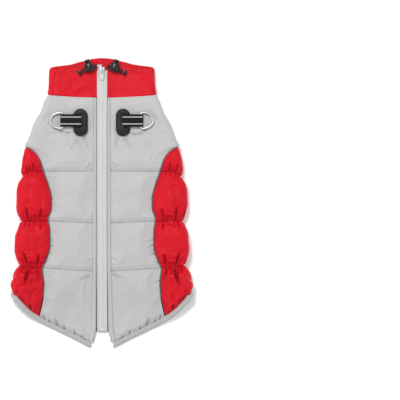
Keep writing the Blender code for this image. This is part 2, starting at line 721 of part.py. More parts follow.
def build_panels():
    """The seven cut panels of the body. Returns the girths of their corners along the hem."""
    first, second, third = QUILT_LINES
    red = Padding(RED_LIFT, 7.5, 17.0, 1.0, QUILT_LINES, ())
    grey = Padding(GREY_LIFT, 7.0, 9.0, 0.5, QUILT_LINES, BACK_CREASES)
    chest = Padding(CHEST_LIFT, 8.0, 1.0, 0.0, (), CHEST_CREASES)
    arm_top = ARMHOLE_Y + ARMHOLE_HALF_HEIGHT
    upper_rows = [level(y) for y in armhole_rows(arm_top, SIDE_TOP_Y + 2)]
    middle_rows = [level(y) for y in armhole_rows(arm_top, VEE_TOP_Y + 2)]
    seam_rows = seam_stations()
    corner = 3 + 1 + len(upper_rows) + 1  # the row where the grey back passes from the armhole to the side
    hem_girths = []
    for side, hand in ((-1, "left"), (1, "right")):
        hem_girths += panel(
            f"back_panel_{hand}",
            GREY,
            grey,
            grey_outer_side,
            zip_side,
            [(lambda g: collar_seam_y(g) - SEAM_GAP, 3), (level(arm_top), 1)]
            + [(row, 1) for row in upper_rows]
            + [(level(SIDE_TOP_Y + 0.6), 1), (level(SIDE_TOP_Y - 0.8), 1)]
            + [(level(y), 1) for y in seam_rows]
            + [(quilt_level(first), 6), (quilt_level(second), 6), (quilt_level(third), 6)]
            + [(above_hem, 1), (hem_seam_y, 0)],
            columns=11,
            thin=1,
            keep=(corner - 1, corner, corner + 1),
            side=side,
        )
        hem_girths += panel(
            f"side_panel_{hand}",
            RED,
            red,
            side_inner,
            side_outer,
            side_levels(),
            columns=24,
            gathers=True,
            keep=(*range(len(seam_rows) + 2), len(seam_rows) + 19),  # round the armhole, and above the hem
            side=side,
        )
    panel(
        "chest_panel",
        RED,
        chest,
        lambda y: -chest_side(y),
        chest_side,
        [(lambda g: collar_seam_y(g) - SEAM_GAP, 4), (level(arm_top), 1)]
        + [(row, 1) for row in middle_rows]
        + [(level(VEE_TOP_Y), 4), (level(VEE_BOTTOM[1] + SEAM_GAP), 0)],
        columns=16,
    )
    hem_girths += panel(
        "belly_panel",
        RED,
        red,
        lambda y: -belly_seam(y) + SEAM_GAP,
        lambda y: belly_seam(y) - SEAM_GAP,
        [(belly_top_y, 2), (quilt_level(first), 6), (quilt_level(second), 5), (hem_seam_y, 0)],
        columns=32,
        gathers=True,
    )
    return hem_girths


def build_collar():
    """One strip from zip edge to zip edge, round the neck."""
    outer, inner = [], []
    rows = grid(
        lambda y: -collar_end(y),
        collar_end,
        [(collar_top_y, COLLAR_ROWS), (lambda g: collar_seam_y(g) + SEAM_GAP, 0)],
        COLLAR_COLUMNS,
        spread,
    )
    for row in rows:
        outer.append([])
        inner.append([])
        for girth, y in row:
            ends = (y - collar_seam_y(girth), collar_top_y(girth) - y, collar_end(y) - abs(girth))
            puff = math.prod(rounded(d, 5.0) for d in ends)
            lift = COLLAR_EDGE_LIFT + (COLLAR_LIFT - COLLAR_EDGE_LIFT) * puff
            lift = max(min(lift, ring_room(girth, y)), THINNEST)
            outer[-1].append(skin(girth, y, lift))
            inner[-1].append(skin(girth, y, 0.0))
    wall("collar", RED, outer, inner, 2, 2)


def collar_end(y):
    return half_girth(y) - COLLAR_EDGE_X


# ---------------------------------------------------------------- strips along edges
def strip_over_back(name, finish, edges, stations, low, high, crown=0.0):
    """A strip of the back between two x at each station, from one lift to another."""
    outer, inner = [], []
    for y in stations:
        x0, x1 = edges(y)
        xs = (x0, (x0 + x1) / 2, x1) if crown else (x0, x1)
        outer.append([Vector((x, y, back_z(abs(x), y) + high + (crown if k == 1 else 0))) for k, x in enumerate(xs)])
        inner.append([Vector((x, y, max(back_z(abs(x), y) + low, 0.2))) for x in xs])
    return wall(name, finish, outer, inner, 1, 2)


def build_zip():
    for side, hand in ((-1, "left"), (1, "right")):
        strip_over_back(
            f"placket_{hand}",
            GREY,
            lambda y: (side * (placket_edge_x(y) + SEAM_GAP), side * (placket_seam_x(y) - SEAM_GAP)),
            spread(169.0, TAIL_TOP_Y, 7)[:-1] + spread(TAIL_TOP_Y, -206.0, 9) + [-213.0, -221.4],
            0.0,
            4.2,
            crown=0.8,
        )
        top = ZIP_TOP[hand]
        strip_over_back(
            f"zip_tape_{hand}",
            ZIP_GREY,
            lambda y: (side * (CHAIN_HALF + SEAM_GAP), side * TAPE_HALF),
            spread(top, TAIL_TOP_Y, 8)[:-1] + spread(TAIL_TOP_Y, ZIP_BOTTOM_Y, 9),
            TAPE_LOW,
            TAPE_LOW + TAPE_THICK,
        )
    strip_over_back(
        "zip_chain",
        ZIP_GREY,
        lambda y: (-CHAIN_HALF, CHAIN_HALF),
        spread(SLIDER_Y - SLIDER_LENGTH / 2 - SEAM_GAP, TAIL_TOP_Y, 8)[:-1]
        + spread(TAIL_TOP_Y, ZIP_BOTTOM_Y + 6.3, 9),
        CHAIN_LOW,
        CHAIN_LOW + CHAIN_THICK,
        crown=0.3,
    )
    strip_over_back(
        "zip_end_stop",
        ZIP_GREY,
        lambda y: (-CHAIN_HALF, CHAIN_HALF),
        spread(ZIP_BOTTOM_Y + 6.0, ZIP_BOTTOM_Y, 2),
        CHAIN_LOW,
        CHAIN_LOW + CHAIN_THICK + 0.8,
    )
    strip_over_back(
        "zip_facing",
        BLACK_CLOTH,
        lambda y: (-FACING_HALF, FACING_HALF),
        spread(160.0, TAIL_TOP_Y, 7)[:-1] + spread(TAIL_TOP_Y, -206.0, 9),
        -LINING_CLEAR - LINING,
        -LINING_CLEAR,
    )
    build_slider()


def build_slider():
    """The slider at the top of the zip, its bail, and the pull tab that swings under the bail."""
    base_z = back_z(0.0, SLIDER_Y) + TAPE_LOW + TAPE_THICK + SEAM_GAP
    half_length, half_width = SLIDER_LENGTH / 2, SLIDER_WIDTH / 2
    outline = [
        (-half_width, half_length * 0.75),
        (-half_width * 0.55, half_length),
        (half_width * 0.55, half_length),
        (half_width, half_length * 0.75),
        (half_width * 0.62, -half_length),
        (-half_width * 0.62, -half_length),
    ]
    centre = Vector((0.0, SLIDER_Y, base_z + SLIDER_HEIGHT / 2))
    slider = plate("zip_slider", ZIP_GREY, outline, SLIDER_HEIGHT, origin=centre)
    pivot_z = base_z + SLIDER_HEIGHT + 1.2
    arch = []
    for radius in (BAIL_RADIUS, BAIL_RADIUS - BAIL_WIRE):
        turns = spread(0.0, math.pi, 8)
        bow = [(radius * math.cos(t), 0.55 * radius * math.sin(t) + 0.6) for t in turns]
        foot = [(radius, -1.6), *bow, (-radius, -1.6)]
        arch.append(foot)
    upright = Matrix(((0, 0, 1, 0), (1, 0, 0, 0), (0, 1, 0, 0), (0, 0, 0, 1)))
    bail = plate(
        "bail_shape", ZIP_GREY, arch[0] + arch[1][::-1], BAIL_WIRE, origin=(0, SLIDER_Y, pivot_z - 0.6), matrix=upright
    )
    combine(slider, bail, "UNION")
    half = TAB_WIDTH / 2
    tab_outline = [(-half, 0.55), (-half, -7.0), (-half * 1.15, 2 - TAB_LENGTH), (-half * 0.7, -TAB_LENGTH)]
    tab_outline += [(-x, y) for x, y in tab_outline[::-1]]
    window = [(-1.3, -0.6), (1.3, -0.6), (1.3, -5.8), (-1.3, -5.8)]
    lying = Matrix.Rotation(TAB_TILT, 4, "X")
    plate("zip_pull_tab", ZIP_GREY, tab_outline, TAB_THICK, hole=window, origin=(0, SLIDER_Y, pivot_z), matrix=lying)


def binding_ring(turn, inset, lift, side):
    """A point of the armhole tape at an inset from the armhole's outline."""
    girth, y = armhole_point(turn, inset)
    return skin(side * girth, y, lift)


def build_bindings(hem_girths):
    """The grey tape round each armhole and along the hem, where it follows the panels' corners."""
    section = ((0.7, 0.0), (0.7, 3.0), (2.8, BINDING_LIFT), (6.6, 4.0), (8.0, 0.6))
    for side, hand in ((-1, "left"), (1, "right")):
        rings = [
            [binding_ring(2 * math.pi * k / ARMHOLE_STEPS, inset, lift, side) for inset, lift in section]
            for k in range(ARMHOLE_STEPS)
        ]
        tube_of_rings(f"armhole_binding_{hand}", EDGE_GREY, rings, closed=True)
    end = half_girth(-230.0) - 18.0
    width = BINDING - 1.5
    rings = []
    girths = [-end]
    for girth in sorted(hem_girths) + [end]:
        if girth - girths[-1] > 2.0:
            girths.append(girth)
    for girth in girths:
        on_back = abs(girth) > flat_half(-120.0) + FOLD_TURN
        under = -1.6 if on_back else -0.4
        section = ((0.0, under), (0.0, 3.2), (width, 3.8), (width, under))
        rings.append([skin(girth, hem_y(girth) + inset * hem_stretch(girth), lift) for inset, lift in section])
    tube_of_rings("hem_binding", EDGE_GREY, rings)


def build_piping():
    """The dark cord sewn into each seam between back and side."""
    for side, hand in ((-1, "left"), (1, "right")):
        rows = grid(side_inner, side_outer, side_levels(), 1)[1:]
        line = [skin(side * (row[-1][0] + piping_gap(row[-1][1])), row[-1][1], PIPING_LIFT) for row in rows]
        rod(f"piping_{hand}", PIPING_GREY, line, PIPING, fine=1)


def build_lining():
    """The black lining under the back, which shows past the belly's hem and in the armholes."""
    for side, hand in ((-1, "left"), (1, "right")):
        rows = grid(
            lambda y: flat_half(y) + FOLD_TURN + 6.0 - (6.0 + 0.5 * FOLD_TURN) * ease((-90.0 - y) / 30.0),
            lambda y: half_girth(y) - FACING_HALF - SEAM_GAP,
            [(level(160.0), 5), (level(75.0), 2), (level(TAIL_TOP_Y + 8), 9), (lambda g: hem_seam_y(g) + 2.5, 0)],
            8,
            spread,
        )
        outer = [[skin(side * girth, y, -LINING_CLEAR) for girth, y in row] for row in rows]
        inner = [[skin(side * girth, y, -LINING_CLEAR - LINING) for girth, y in row] for row in rows]
        wall(f"back_lining_{hand}", BLACK_CLOTH, outer, inner)


# ---------------------------------------------------------------- hardware on the back
def back_top_z(x, y):
    """Height of the grey yoke's outer face, creases left out."""
    return back_z(x, y) + GREY_LIFT


def oval(half_width, half_height, steps=24):
    """A pill outline: straight sides and round ends."""
    straight = half_height - half_width
    points = []
    for k in range(steps):
        t = 2 * math.pi * k / steps
        y = half_width * math.sin(t) + math.copysign(straight, math.sin(t) or 1.0)
        points.append((half_width * math.cos(t), y))
    return points


def build_leash_ports():
    """On each shoulder: a black oval patch, webbing out of its slot, and a D-ring in the webbing's loop."""
    for side, hand in ((-1, "left"), (1, "right")):
        base = max(back_top_z(PATCH_X + dx, PATCH_Y + dy) for dx in (-11, 0, 11) for dy in (-22, 0, 22)) + 0.3
        slot = [(dx, dy + WEB_Y - PATCH_Y) for dx, dy in ((-2.2, -10.7), (2.2, -10.7), (2.2, 10.7), (-2.2, 10.7))]
        plate(
            f"port_patch_{hand}",
            BLACK_PLASTIC,
            oval(PATCH_HALF_WIDTH, PATCH_HALF_HEIGHT),
            PATCH_THICK,
            hole=slot,
            origin=(side * PATCH_X, PATCH_Y, base + PATCH_THICK / 2),
        )
        bar_z = base + PATCH_THICK + 1.2
        build_webbing(side, hand, base, bar_z)
        build_d_ring(side, hand, bar_z)


def build_webbing(side, hand, base, bar_z):
    """Folded webbing: up out of the slot, out over the patch, and round the ring's bar."""
    top = base + PATCH_THICK + 0.3
    eye, outside = RING_WIRE / 2 + 0.4, RING_WIRE / 2 + 0.4 + WEB_THICK / 2
    start = math.radians(150)
    turns = spread(start, start - 2 * math.pi + 0.25, 14)
    loop_out = [(RING_BAR_X + outside * math.cos(t), bar_z + outside * math.sin(t)) for t in turns]
    profile = [(PATCH_X - 1.6, base + 0.1), (PATCH_X - 1.6, top + 1.4), (PATCH_X + 0.6, top + WEB_THICK)]
    profile += [(PATCH_X + 12.0, top + WEB_THICK)] + loop_out
    underside = [(RING_BAR_X - 7.5, top), (PATCH_X + 1.6, top), (PATCH_X + 1.6, base + 0.1)]
    outline = [Vector((x, 0.0, z)) for x, z in profile + underside]
    rings = []
    for y in (WEB_Y - WEB_WIDTH / 2, WEB_Y + WEB_WIDTH / 2):
        rings.append([Vector((side * p.x, y, p.z)) for p in outline])
    webbing = tube_of_rings(f"webbing_{hand}", BLACK_CLOTH, rings)
    hole_rings = []
    for y in (WEB_Y - WEB_WIDTH, WEB_Y + WEB_WIDTH):
        ring = [(RING_BAR_X + eye * math.cos(t), bar_z + eye * math.sin(t)) for t in spread(0, 2 * math.pi, 14)[:-1]]
        hole_rings.append([Vector((side * x, y, z)) for x, z in ring])
    eye_cutter = tube_of_rings(f"webbing_eye_{hand}", BLACK_CLOTH, hole_rings)
    combine(webbing, eye_cutter, "DIFFERENCE")


def d_outline(half_height, depth, corner, steps=12):
    """Centre line of a D-ring: a straight bar at 0 and a bow out to depth."""
    points = [(0.0, -half_height + corner), (0.0, 0.0), (0.0, half_height - corner)]
    points += [(corner * 0.3, half_height - corner * 0.3), (corner, half_height)]
    for k in range(1, steps):
        t = math.pi / 2 - math.pi * k / steps
        points.append((corner + (depth - corner) * math.cos(t), half_height * math.sin(t)))
    points += [(corner, -half_height), (corner * 0.3, -half_height + corner * 0.3)]
    return points


def build_d_ring(side, hand, bar_z):
    """A steel D-ring whose bar is in the webbing's loop and whose bow lies on the cloth."""
    rest_z = max(back_top_z(RING_BAR_X + RING_DEPTH, WEB_Y + dy) for dy in (-8, 0, 8)) + RING_WIRE / 2 + 0.4
    tilt = math.atan2(rest_z - bar_z, RING_DEPTH)
    points = [
        (side * x * math.cos(tilt), y, x * math.sin(tilt)) for x, y in d_outline(RING_HALF_HEIGHT, RING_DEPTH, 2.2)
    ]
    rod(f"d_ring_{hand}", STEEL, points, RING_WIRE, closed=True, origin=(side * RING_BAR_X, WEB_Y, bar_z))


def build_chest_ring():
    """The small ring under the neck, held by a ribbon sewn into the collar seam."""
    ring = [(y, -x, 0.0) for x, y in d_outline(CHEST_RING_HALF_WIDTH, CHEST_RING_DEPTH, 1.3, 10)]
    pin = (0, CHEST_RING_Y, CHEST_RING_Z)
    rod("chest_ring", BLACK_PLASTIC, ring, CHEST_RING_WIRE, closed=True, origin=pin)
    eye = CHEST_RING_WIRE / 2 + 0.3
    round_bar = eye + RIBBON_THICK
    bow = [(round_bar * math.cos(t), round_bar * math.sin(t)) for t in spread(math.radians(-140), math.radians(90), 8)]
    sewn = [(CHEST_RING_Y - collar_seam_y(0.0), round_bar), (CHEST_RING_Y - collar_seam_y(0.0), round_bar - 0.8)]
    sewn = [(-y, z) for y, z in sewn] + [(-eye - 0.6, round_bar - 0.8)]
    half = RIBBON_WIDTH / 2
    rings = [[Vector((x, y, z)) for y, z in bow + sewn] for x in (-half, half)]
    ribbon = tube_of_rings("chest_ring_ribbon", RIBBON_WHITE, rings, origin=pin)
    turns = spread(0, 2 * math.pi, 12)[:-1]
    rings = [[Vector((x, eye * math.cos(t), eye * math.sin(t))) for t in turns] for x in (-half - 2, half + 2)]
    combine(ribbon, tube_of_rings("ribbon_eye", RIBBON_WHITE, rings, origin=pin), "DIFFERENCE")


def lock_frame(side):
    """Axes of a cord lock: its length leans outwards, and it lies on the collar."""
    along = Vector((side * math.sin(LOCK_LEAN), math.cos(LOCK_LEAN), 0.0))
    across = Vector((side * math.cos(LOCK_LEAN), -math.sin(LOCK_LEAN), 0.0))
    return along, across


def lock_height():
    return back_z(LOCK_X, LOCK_Y - 6) + COLLAR_LIFT + 0.4 + LOCK_HALF_THICK


def lathe(name, finish, side, rows, height, steps=14):
    """A flattened round body along a lock's axis. rows are (place along the axis, share of the full radius)."""
    along, across = lock_frame(side)
    centre = Vector((side * LOCK_X, LOCK_Y, height))
    rings = []
    for place, share in rows:
        ring = []
        for k in range(steps):
            t = 2 * math.pi * k / steps
            sideways = across * LOCK_HALF_WIDTH * share * math.cos(t)
            ring.append(along * place + sideways + Vector((0, 0, LOCK_HALF_THICK * share * math.sin(t))))
        rings.append(ring)
    return tube_of_rings(name, finish, rings, origin=centre)


def build_cord_locks():
    """A cord lock by each end of the collar's drawcord, its button, two strands and their end clip."""
    height = lock_height()
    for side, hand in ((-1, "left"), (1, "right")):
        along, across = lock_frame(side)
        centre = Vector((side * LOCK_X, LOCK_Y, height))
        barrel = ((-9.4, 0.72), (-8.6, 0.9), (-5.0, 1.0), (1.0, 0.94), (5.0, 0.72))
        body = lathe(f"cord_lock_{hand}", BLACK_PLASTIC, side, barrel, height)
        bore = lathe(f"lock_bore_{hand}", BLACK_PLASTIC, side, ((-0.2, 0.56), (9.0, 0.56)), height)
        combine(body, bore, "DIFFERENCE")
        slot_half = (CORD_SPACING + CORD_DIAMETER) / 2 + 0.4
        slot_rings = []
        for reach in (-12.0, 12.0):
            corners = ((-slot_half, -1.6), (slot_half, -1.6), (slot_half, 1.6), (-slot_half, 1.6))
            slot_rings.append([across * reach + along * (a + CORD_PLACE) + Vector((0, 0, z)) for a, z in corners])
        slot = tube_of_rings(f"lock_slot_{hand}", BLACK_PLASTIC, slot_rings, origin=centre)
        combine(body, slot, "DIFFERENCE")
        button = ((0.4, 0.49), (7.4, 0.49), (7.5, 0.62), (9.6, 0.60), (10.6, 0.42))
        lathe(f"lock_button_{hand}", BLACK_PLASTIC, side, button, height)
        build_strands(side, hand, centre, along, across)


def build_strands(side, hand, centre, along, across):
    """Two strands of elastic from the collar's face, through the lock, to the end clip."""
    clip = Vector((side * CORD_END[0], CORD_END[1], centre.z - 1.2))
    toward = (clip - (centre + along * CORD_PLACE)).normalized()
    sideways = Vector((-toward.y, toward.x, 0.0)).normalized() * side
    for mark, share in (("a", 1), ("b", -1)):
        offset = along * (share * CORD_SPACING / 2 + CORD_PLACE)
        lane = centre + offset
        route = [
            lane - across * 12.0 + Vector((0, 0, -3.6)),
            lane - across * 10.6 + Vector((0, 0, -1.2)),
            lane - across * 8.0,
            lane,
            lane + across * 9.0,
            clip - toward * 3.3 + sideways * share * 1.5,
        ]
        rod(f"cord_{hand}_{mark}", BLACK_CLOTH, through(route, 3.4), CORD_DIAMETER, fine=2)
    turn = Matrix((
        (toward.x, sideways.x, 0, 0),
        (toward.y, sideways.y, 0, 0),
        (0, 0, 1, 0),
        (0, 0, 0, 1),
    ))
    outline = [(-2.8, -2.9), (2.0, -4.6), (2.9, -3.6), (2.9, 3.6), (2.0, 4.6), (-2.8, 2.9)]
    plate(f"cord_clip_{hand}", BLACK_PLASTIC, outline, 4.4, origin=clip, matrix=turn)


def main():
    for old in list(bpy.data.objects):
        bpy.data.objects.remove(old)
    hem_girths = build_panels()
    build_collar()
    build_zip()
    build_bindings(hem_girths)
    build_piping()
    build_lining()
    build_leash_ports()
    build_chest_ring()
    build_cord_locks()


main()
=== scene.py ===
"""Looks of a padded dog jacket that lies flat on its belly, zip upwards.

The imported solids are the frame. Each piece of cloth is cut as a grid between its seams, gathered and blown up by
Blender's cloth simulation, and closed as a wall; the zip, tapes, sewing and hardware are modelled over their solids.
Sizes in the tables are millimetres in the frame's axes: +Y towards the collar, +X right, +Z up.
"""

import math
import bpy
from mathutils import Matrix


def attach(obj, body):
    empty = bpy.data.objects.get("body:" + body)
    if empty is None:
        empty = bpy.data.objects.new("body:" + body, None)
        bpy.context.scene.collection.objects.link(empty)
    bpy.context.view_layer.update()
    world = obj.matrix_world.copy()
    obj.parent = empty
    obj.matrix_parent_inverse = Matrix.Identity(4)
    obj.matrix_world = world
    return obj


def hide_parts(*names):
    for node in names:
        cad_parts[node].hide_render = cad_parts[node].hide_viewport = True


bl_info = {
    "name": "Padded Dog Jacket",
    "version": (1, 0, 0),
    "blender": (4, 5, 0),
    "location": "3D View > Sidebar > Jacket",
    "description": "Dresses a padded dog jacket with gathered cloth, a zip, sewing and hardware",
    "category": "Object",
}

from collections import namedtuple

import bmesh
import bpy
import numpy as np
from mathutils import Matrix, Vector

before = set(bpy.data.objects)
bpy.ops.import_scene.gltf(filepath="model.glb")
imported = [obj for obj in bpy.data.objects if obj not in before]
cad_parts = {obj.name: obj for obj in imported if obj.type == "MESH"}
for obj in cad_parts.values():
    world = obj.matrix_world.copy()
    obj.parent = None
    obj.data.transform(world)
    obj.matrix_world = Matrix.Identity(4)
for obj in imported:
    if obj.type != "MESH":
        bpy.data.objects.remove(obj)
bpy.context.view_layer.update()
MM = 0.001
HANDS = ((-1, "left"), (1, "right"))

# ---------------------------------------------------------------- sizes of the solids' cloth
SEAM_GAP = 0.12  # from a seam to the edge of each panel
PIPING_GAP = 0.9  # from the piping's middle to the edge of each panel
LEAST_WALL = 1.4  # what is left of a wall under its deepest folds
SEAM_LIFT = 3.0  # thickness of padded cloth at its seams
FOLD_RADIUS, ROUND_RADIUS = 3.5, 12.5  # of the inner face at the side fold, and of the line that the girth follows
FOLD_TURN = math.pi * ROUND_RADIUS
MIDDLE_GAP, GAP_RISE = 3.4, 34.0  # gap between belly and back, and the width over which the side fold widens it
BINDING = 8.5  # width of the folded tape
TAIL_REST, TAIL_DROOP = 2.4, 95.0  # height of the tail's inner face, and the length over which the back sinks to it
RING_ROOM = 5.2  # height that the neck ring needs under the belly side,
RING_FROM_Y, RING_TO_Y, RING_SIDE = 166.0, 191.0, 13.0  # between these y and to each side of the middle
ARMHOLE_GIRTH, ARMHOLE_Y = 76.8, 86.4
ARMHOLE_HALF_WIDTH, ARMHOLE_HALF_HEIGHT = 45.6, 47.0
ARMHOLE_POWER, ARMHOLE_LEAN = 2.25, 0.14  # it is nearly an ellipse in girth and y, and leans over
ARMHOLE_MEAN = 46.0  # its mean half size
ARM_TOP = ARMHOLE_Y + ARMHOLE_HALF_HEIGHT
VEE_BOTTOM, VEE_TOP_Y = (14.6, 29.6), 57.6  # corners of the chest's point on the belly
SIDE_TOP_Y = 91.0  # where the red sides end at the armhole


def table(kind, *rows):
    return [kind(*row) for row in rows]


Row = namedtuple("Row", "y value")
# half width of the inner face at the side fold, and height of the belly's inner face
FOLD_X = table(
    Row,
    (236, 79.5), (214, 80.2), (172, 83.2), (165, 86.0), (152, 90.5), (126, 104.0), (101, 113.8), (91, 118.0),
    (66, 117.6), (43, 123.4), (0, 124.2), (-29, 125.6), (-65, 127.0), (-99, 128.6), (-120, 133.0),
    (-136, 139.0), (-150, 143.0), (-165, 143.0), (-240, 143.0),
)
BELLY_Z = table(
    Row,
    (236, 4.6), (214, 5.4), (172, 7.8), (165, 8.0), (152, 8.2), (126, 9.0), (101, 9.8), (91, 10.0), (-240, 10.0),
)
# seams, as x on the back or girth from the middle of the belly
BACK_SEAM = table(
    Row,
    (91, 132.0), (88, 119.0), (82, 108.0), (69, 99.0), (50, 93.0), (24, 84.0), (8, 80.5), (-8, 80.5),
    (-26, 85.5), (-45, 83.0), (-69, 83.0), (-90, 88.5), (-106, 95.0), (-130, 93.0), (-150, 94.5), (-190, 103.0),
)
CHEST_SEAM = table(Row, (180, 64.0), (172, 66.0), (158, 72.0), (146, 77.5), (133, 83.4))
BELLY_SEAM = table(Row, (60, 78.0), (-42, 78.0), (-110, 87.0))
Edge = namedtuple("Edge", "x back_y belly_y")
HEM = table(
    Edge,
    (0, -238.5, -79.0), (17, -233.2, -81.5), (45, -219.0, -89.5), (71, -206.5, -100.5), (97, -193.5, -111.0),
    (117, -180.5, -119.5), (131.5, -166.5, -130.5), (142, -155.5, -139.5), (150, -149.0, -146.0),
)
COLLAR_TOP = table(
    Edge,
    (0, 224.0, 232.8), (9, 226.0, 232.4), (15, 231.5, 231.0), (24, 226.0, 229.0), (38, 218.5, 226.0),
    (51, 215.8, 222.4), (90, 214.4, 217.5),
)
PlacketRow = namedtuple("PlacketRow", "y edge_x seam_x")
PLACKET = table(
    PlacketRow,
    (180, 8.6, 12.9), (20, 8.6, 13.5), (-90, 8.6, 14.2), (-155, 9.2, 15.8), (-190, 9.4, 17.0),
    (-206, 10.0, 18.2), (-219, 13.8, 20.2), (-240, 19.0, 24.5),
)
QuiltLine = namedtuple("QuiltLine", "belly_y fold_y back_y zip_y")
QUILT_LINES = (
    QuiltLine(27.0, 43.0, 51.0, 52.0),
    QuiltLine(-42.0, -29.0, -28.5, -32.0),
    QuiltLine(-106.0, -99.0, -103.5, -110.0),
)


def curve(rows, along, value):
    """A smooth function through the rows that never overshoots them. It takes arrays."""
    pairs = sorted((getattr(row, along), getattr(row, value)) for row in rows)
    xs, ys = np.array(pairs, float).T
    steps = np.diff(ys) / np.diff(xs)
    before, after = steps[:-1], steps[1:]
    both = before * after > 0
    inner = np.where(both, 2 * before * after / np.where(both, before + after, 1.0), 0.0)
    slopes = np.concatenate(([steps[0]], inner, [steps[-1]]))

    def at(x):
        x = np.clip(np.asarray(x, float), xs[0], xs[-1])
        i = np.clip(np.searchsorted(xs, x, side="right") - 1, 0, len(xs) - 2)
        width = xs[i + 1] - xs[i]
        t = (x - xs[i]) / width
        rise = 3 * t * t - 2 * t**3
        lead_in = t * (1 - t) ** 2 * width * slopes[i]
        lead_out = t * t * (t - 1) * width * slopes[i + 1]
        return ys[i] + rise * (ys[i + 1] - ys[i]) + lead_in + lead_out

    return at


fold_x = curve(FOLD_X, "y", "value")
belly_z = curve(BELLY_Z, "y", "value")
back_seam_x = curve(BACK_SEAM, "y", "value")
chest_seam = curve(CHEST_SEAM, "y", "value")
belly_seam = curve(BELLY_SEAM, "y", "value")
hem_back_y = curve(HEM, "x", "back_y")
hem_belly_y = curve(HEM, "x", "belly_y")
collar_back_y = curve(COLLAR_TOP, "x", "back_y")
collar_belly_y = curve(COLLAR_TOP, "x", "belly_y")
placket_edge_x = curve(PLACKET, "y", "edge_x")
placket_seam_x = curve(PLACKET, "y", "seam_x")


def ease(t):
    t = np.clip(t, 0.0, 1.0)
    return t * t * (3 - 2 * t)


def rounded(distance, radius):
    """Height of a quarter round of height 1 at a distance from its foot."""
    t = np.clip(distance / radius, 0.0, 1.0)
    return np.sqrt(1 - (1 - t) ** 2)


# ---------------------------------------------------------------- the flattened tube
def flat_half(y):
    return fold_x(y) - FOLD_RADIUS


def half_girth(y):
    return 2 * flat_half(y) + FOLD_TURN


def back_girth(x, y):
    """Girth of the point of the back at that x, also where it is on the side fold."""
    flat = flat_half(y)
    turned = flat + ROUND_RADIUS * (math.pi - np.arcsin(np.clip((x - flat) / ROUND_RADIUS, -1.0, 1.0)))
    return np.where(x <= flat, half_girth(y) - x, turned)


def back_z(x, y):
    """Height of the back's inner face, over the belly and down to the floor past the belly's hem."""
    flat = flat_half(y)
    gap = MIDDLE_GAP + (2 * FOLD_RADIUS - MIDDLE_GAP) * ease((x - flat + GAP_RISE) / GAP_RISE)
    droop = ease((hem_belly_y(x) - y - 4.0) / TAIL_DROOP) * ease((flat - x) / 50.0)
    over_belly = belly_z(y) + gap
    return over_belly + (TAIL_REST - over_belly) * droop


def back_height(x, y):
    """The same at one place, as a plain number."""
    return float(back_z(np.array(float(x)), np.array(float(y))))


def skin(girth, y, lift):
    """Points at a girth from the middle of the belly, a station y and a lift over the inner face."""
    girth, y, lift = np.broadcast_arrays(np.asarray(girth, float), y, lift)
    side, g, flat, low = np.where(girth < 0, -1.0, 1.0), np.abs(girth), flat_half(y), belly_z(y)
    turn = np.clip((g - flat) / ROUND_RADIUS, 0.0, math.pi)
    x_back = half_girth(y) - g
    on_belly, on_fold = g <= flat, g < flat + FOLD_TURN
    x = np.where(on_belly, g, np.where(on_fold, flat + (FOLD_RADIUS + lift) * np.sin(turn), x_back))
    folded = low + FOLD_RADIUS - (FOLD_RADIUS + lift) * np.cos(turn)
    z = np.where(on_belly, low - lift, np.where(on_fold, folded, back_z(x_back, y) + lift))
    return np.stack((side * x, y, np.maximum(z, 0.0)), axis=-1)


def on_edge(girth, back, belly):
    """y of an edge with one curve on the back and one on the belly."""
    g = np.abs(girth)
    flat = flat_half(belly(80.0)) * np.ones_like(g)
    for _ in range(4):
        turn = (g - flat) / FOLD_TURN
        round_y = belly(flat) + (back(flat) - belly(flat)) * turn
        back_y = back(np.maximum(2 * flat + FOLD_TURN - g, 0.0))
        y = np.where(g <= flat, belly(g), np.where(g >= flat + FOLD_TURN, back_y, round_y))
        flat = flat_half(y)
    return y


def hem_y(girth):
    return on_edge(girth, hem_back_y, hem_belly_y)


def hem_stretch(girth):
    """Length along the body of 1 mm across the hem, which runs at a slant."""
    slope = (hem_y(np.abs(girth) + 1.0) - hem_y(np.abs(girth) - 1.0)) / 2.0
    return np.sqrt(1 + slope * slope)


def hem_seam_y(girth):
    return hem_y(girth) + BINDING * hem_stretch(girth)


def collar_top_y(girth):
    return on_edge(girth, collar_back_y, collar_belly_y)


def collar_seam_y(girth):
    share = np.minimum(np.abs(girth) / half_girth(171.0), 1.0)
    return 174.3 + 4.7 * np.cos(math.pi * share)


def quilt_y(line, girth, y):
    """y of a quilt line from the belly round the fold to the back seam and on to the zip."""
    g, fold = np.abs(girth), flat_half(y) + FOLD_TURN / 2
    seam = back_girth(back_seam_x(y), y)
    belly = line.belly_y + (line.fold_y - line.belly_y) * ease((g - 78.0) / (fold - 78.0))
    side = line.fold_y + (line.back_y - line.fold_y) * ease(1.6 * (g - fold) / (seam - fold))
    back = line.back_y + (line.zip_y - line.back_y) * (g - seam) / (half_girth(y) - seam)
    return np.where(g <= fold, belly, np.where(g <= seam, side, back))


def armhole_point(turn, inset):
    wide, high = ARMHOLE_HALF_WIDTH - inset, ARMHOLE_HALF_HEIGHT - inset
    c, s = np.cos(turn), np.sin(turn)
    across = wide * np.copysign(np.abs(c) ** (2 / ARMHOLE_POWER), c)
    up = high * np.copysign(np.abs(s) ** (2 / ARMHOLE_POWER), s)
    return ARMHOLE_GIRTH + across + ARMHOLE_LEAN * up, ARMHOLE_Y + up


def armhole_girth(y, outward):
    up = np.clip((y - ARMHOLE_Y) / ARMHOLE_HALF_HEIGHT, -1.0, 1.0)
    across = ARMHOLE_HALF_WIDTH * (1 - np.abs(up) ** ARMHOLE_POWER) ** (1 / ARMHOLE_POWER)
    return ARMHOLE_GIRTH + ARMHOLE_LEAN * up * ARMHOLE_HALF_HEIGHT + outward * across


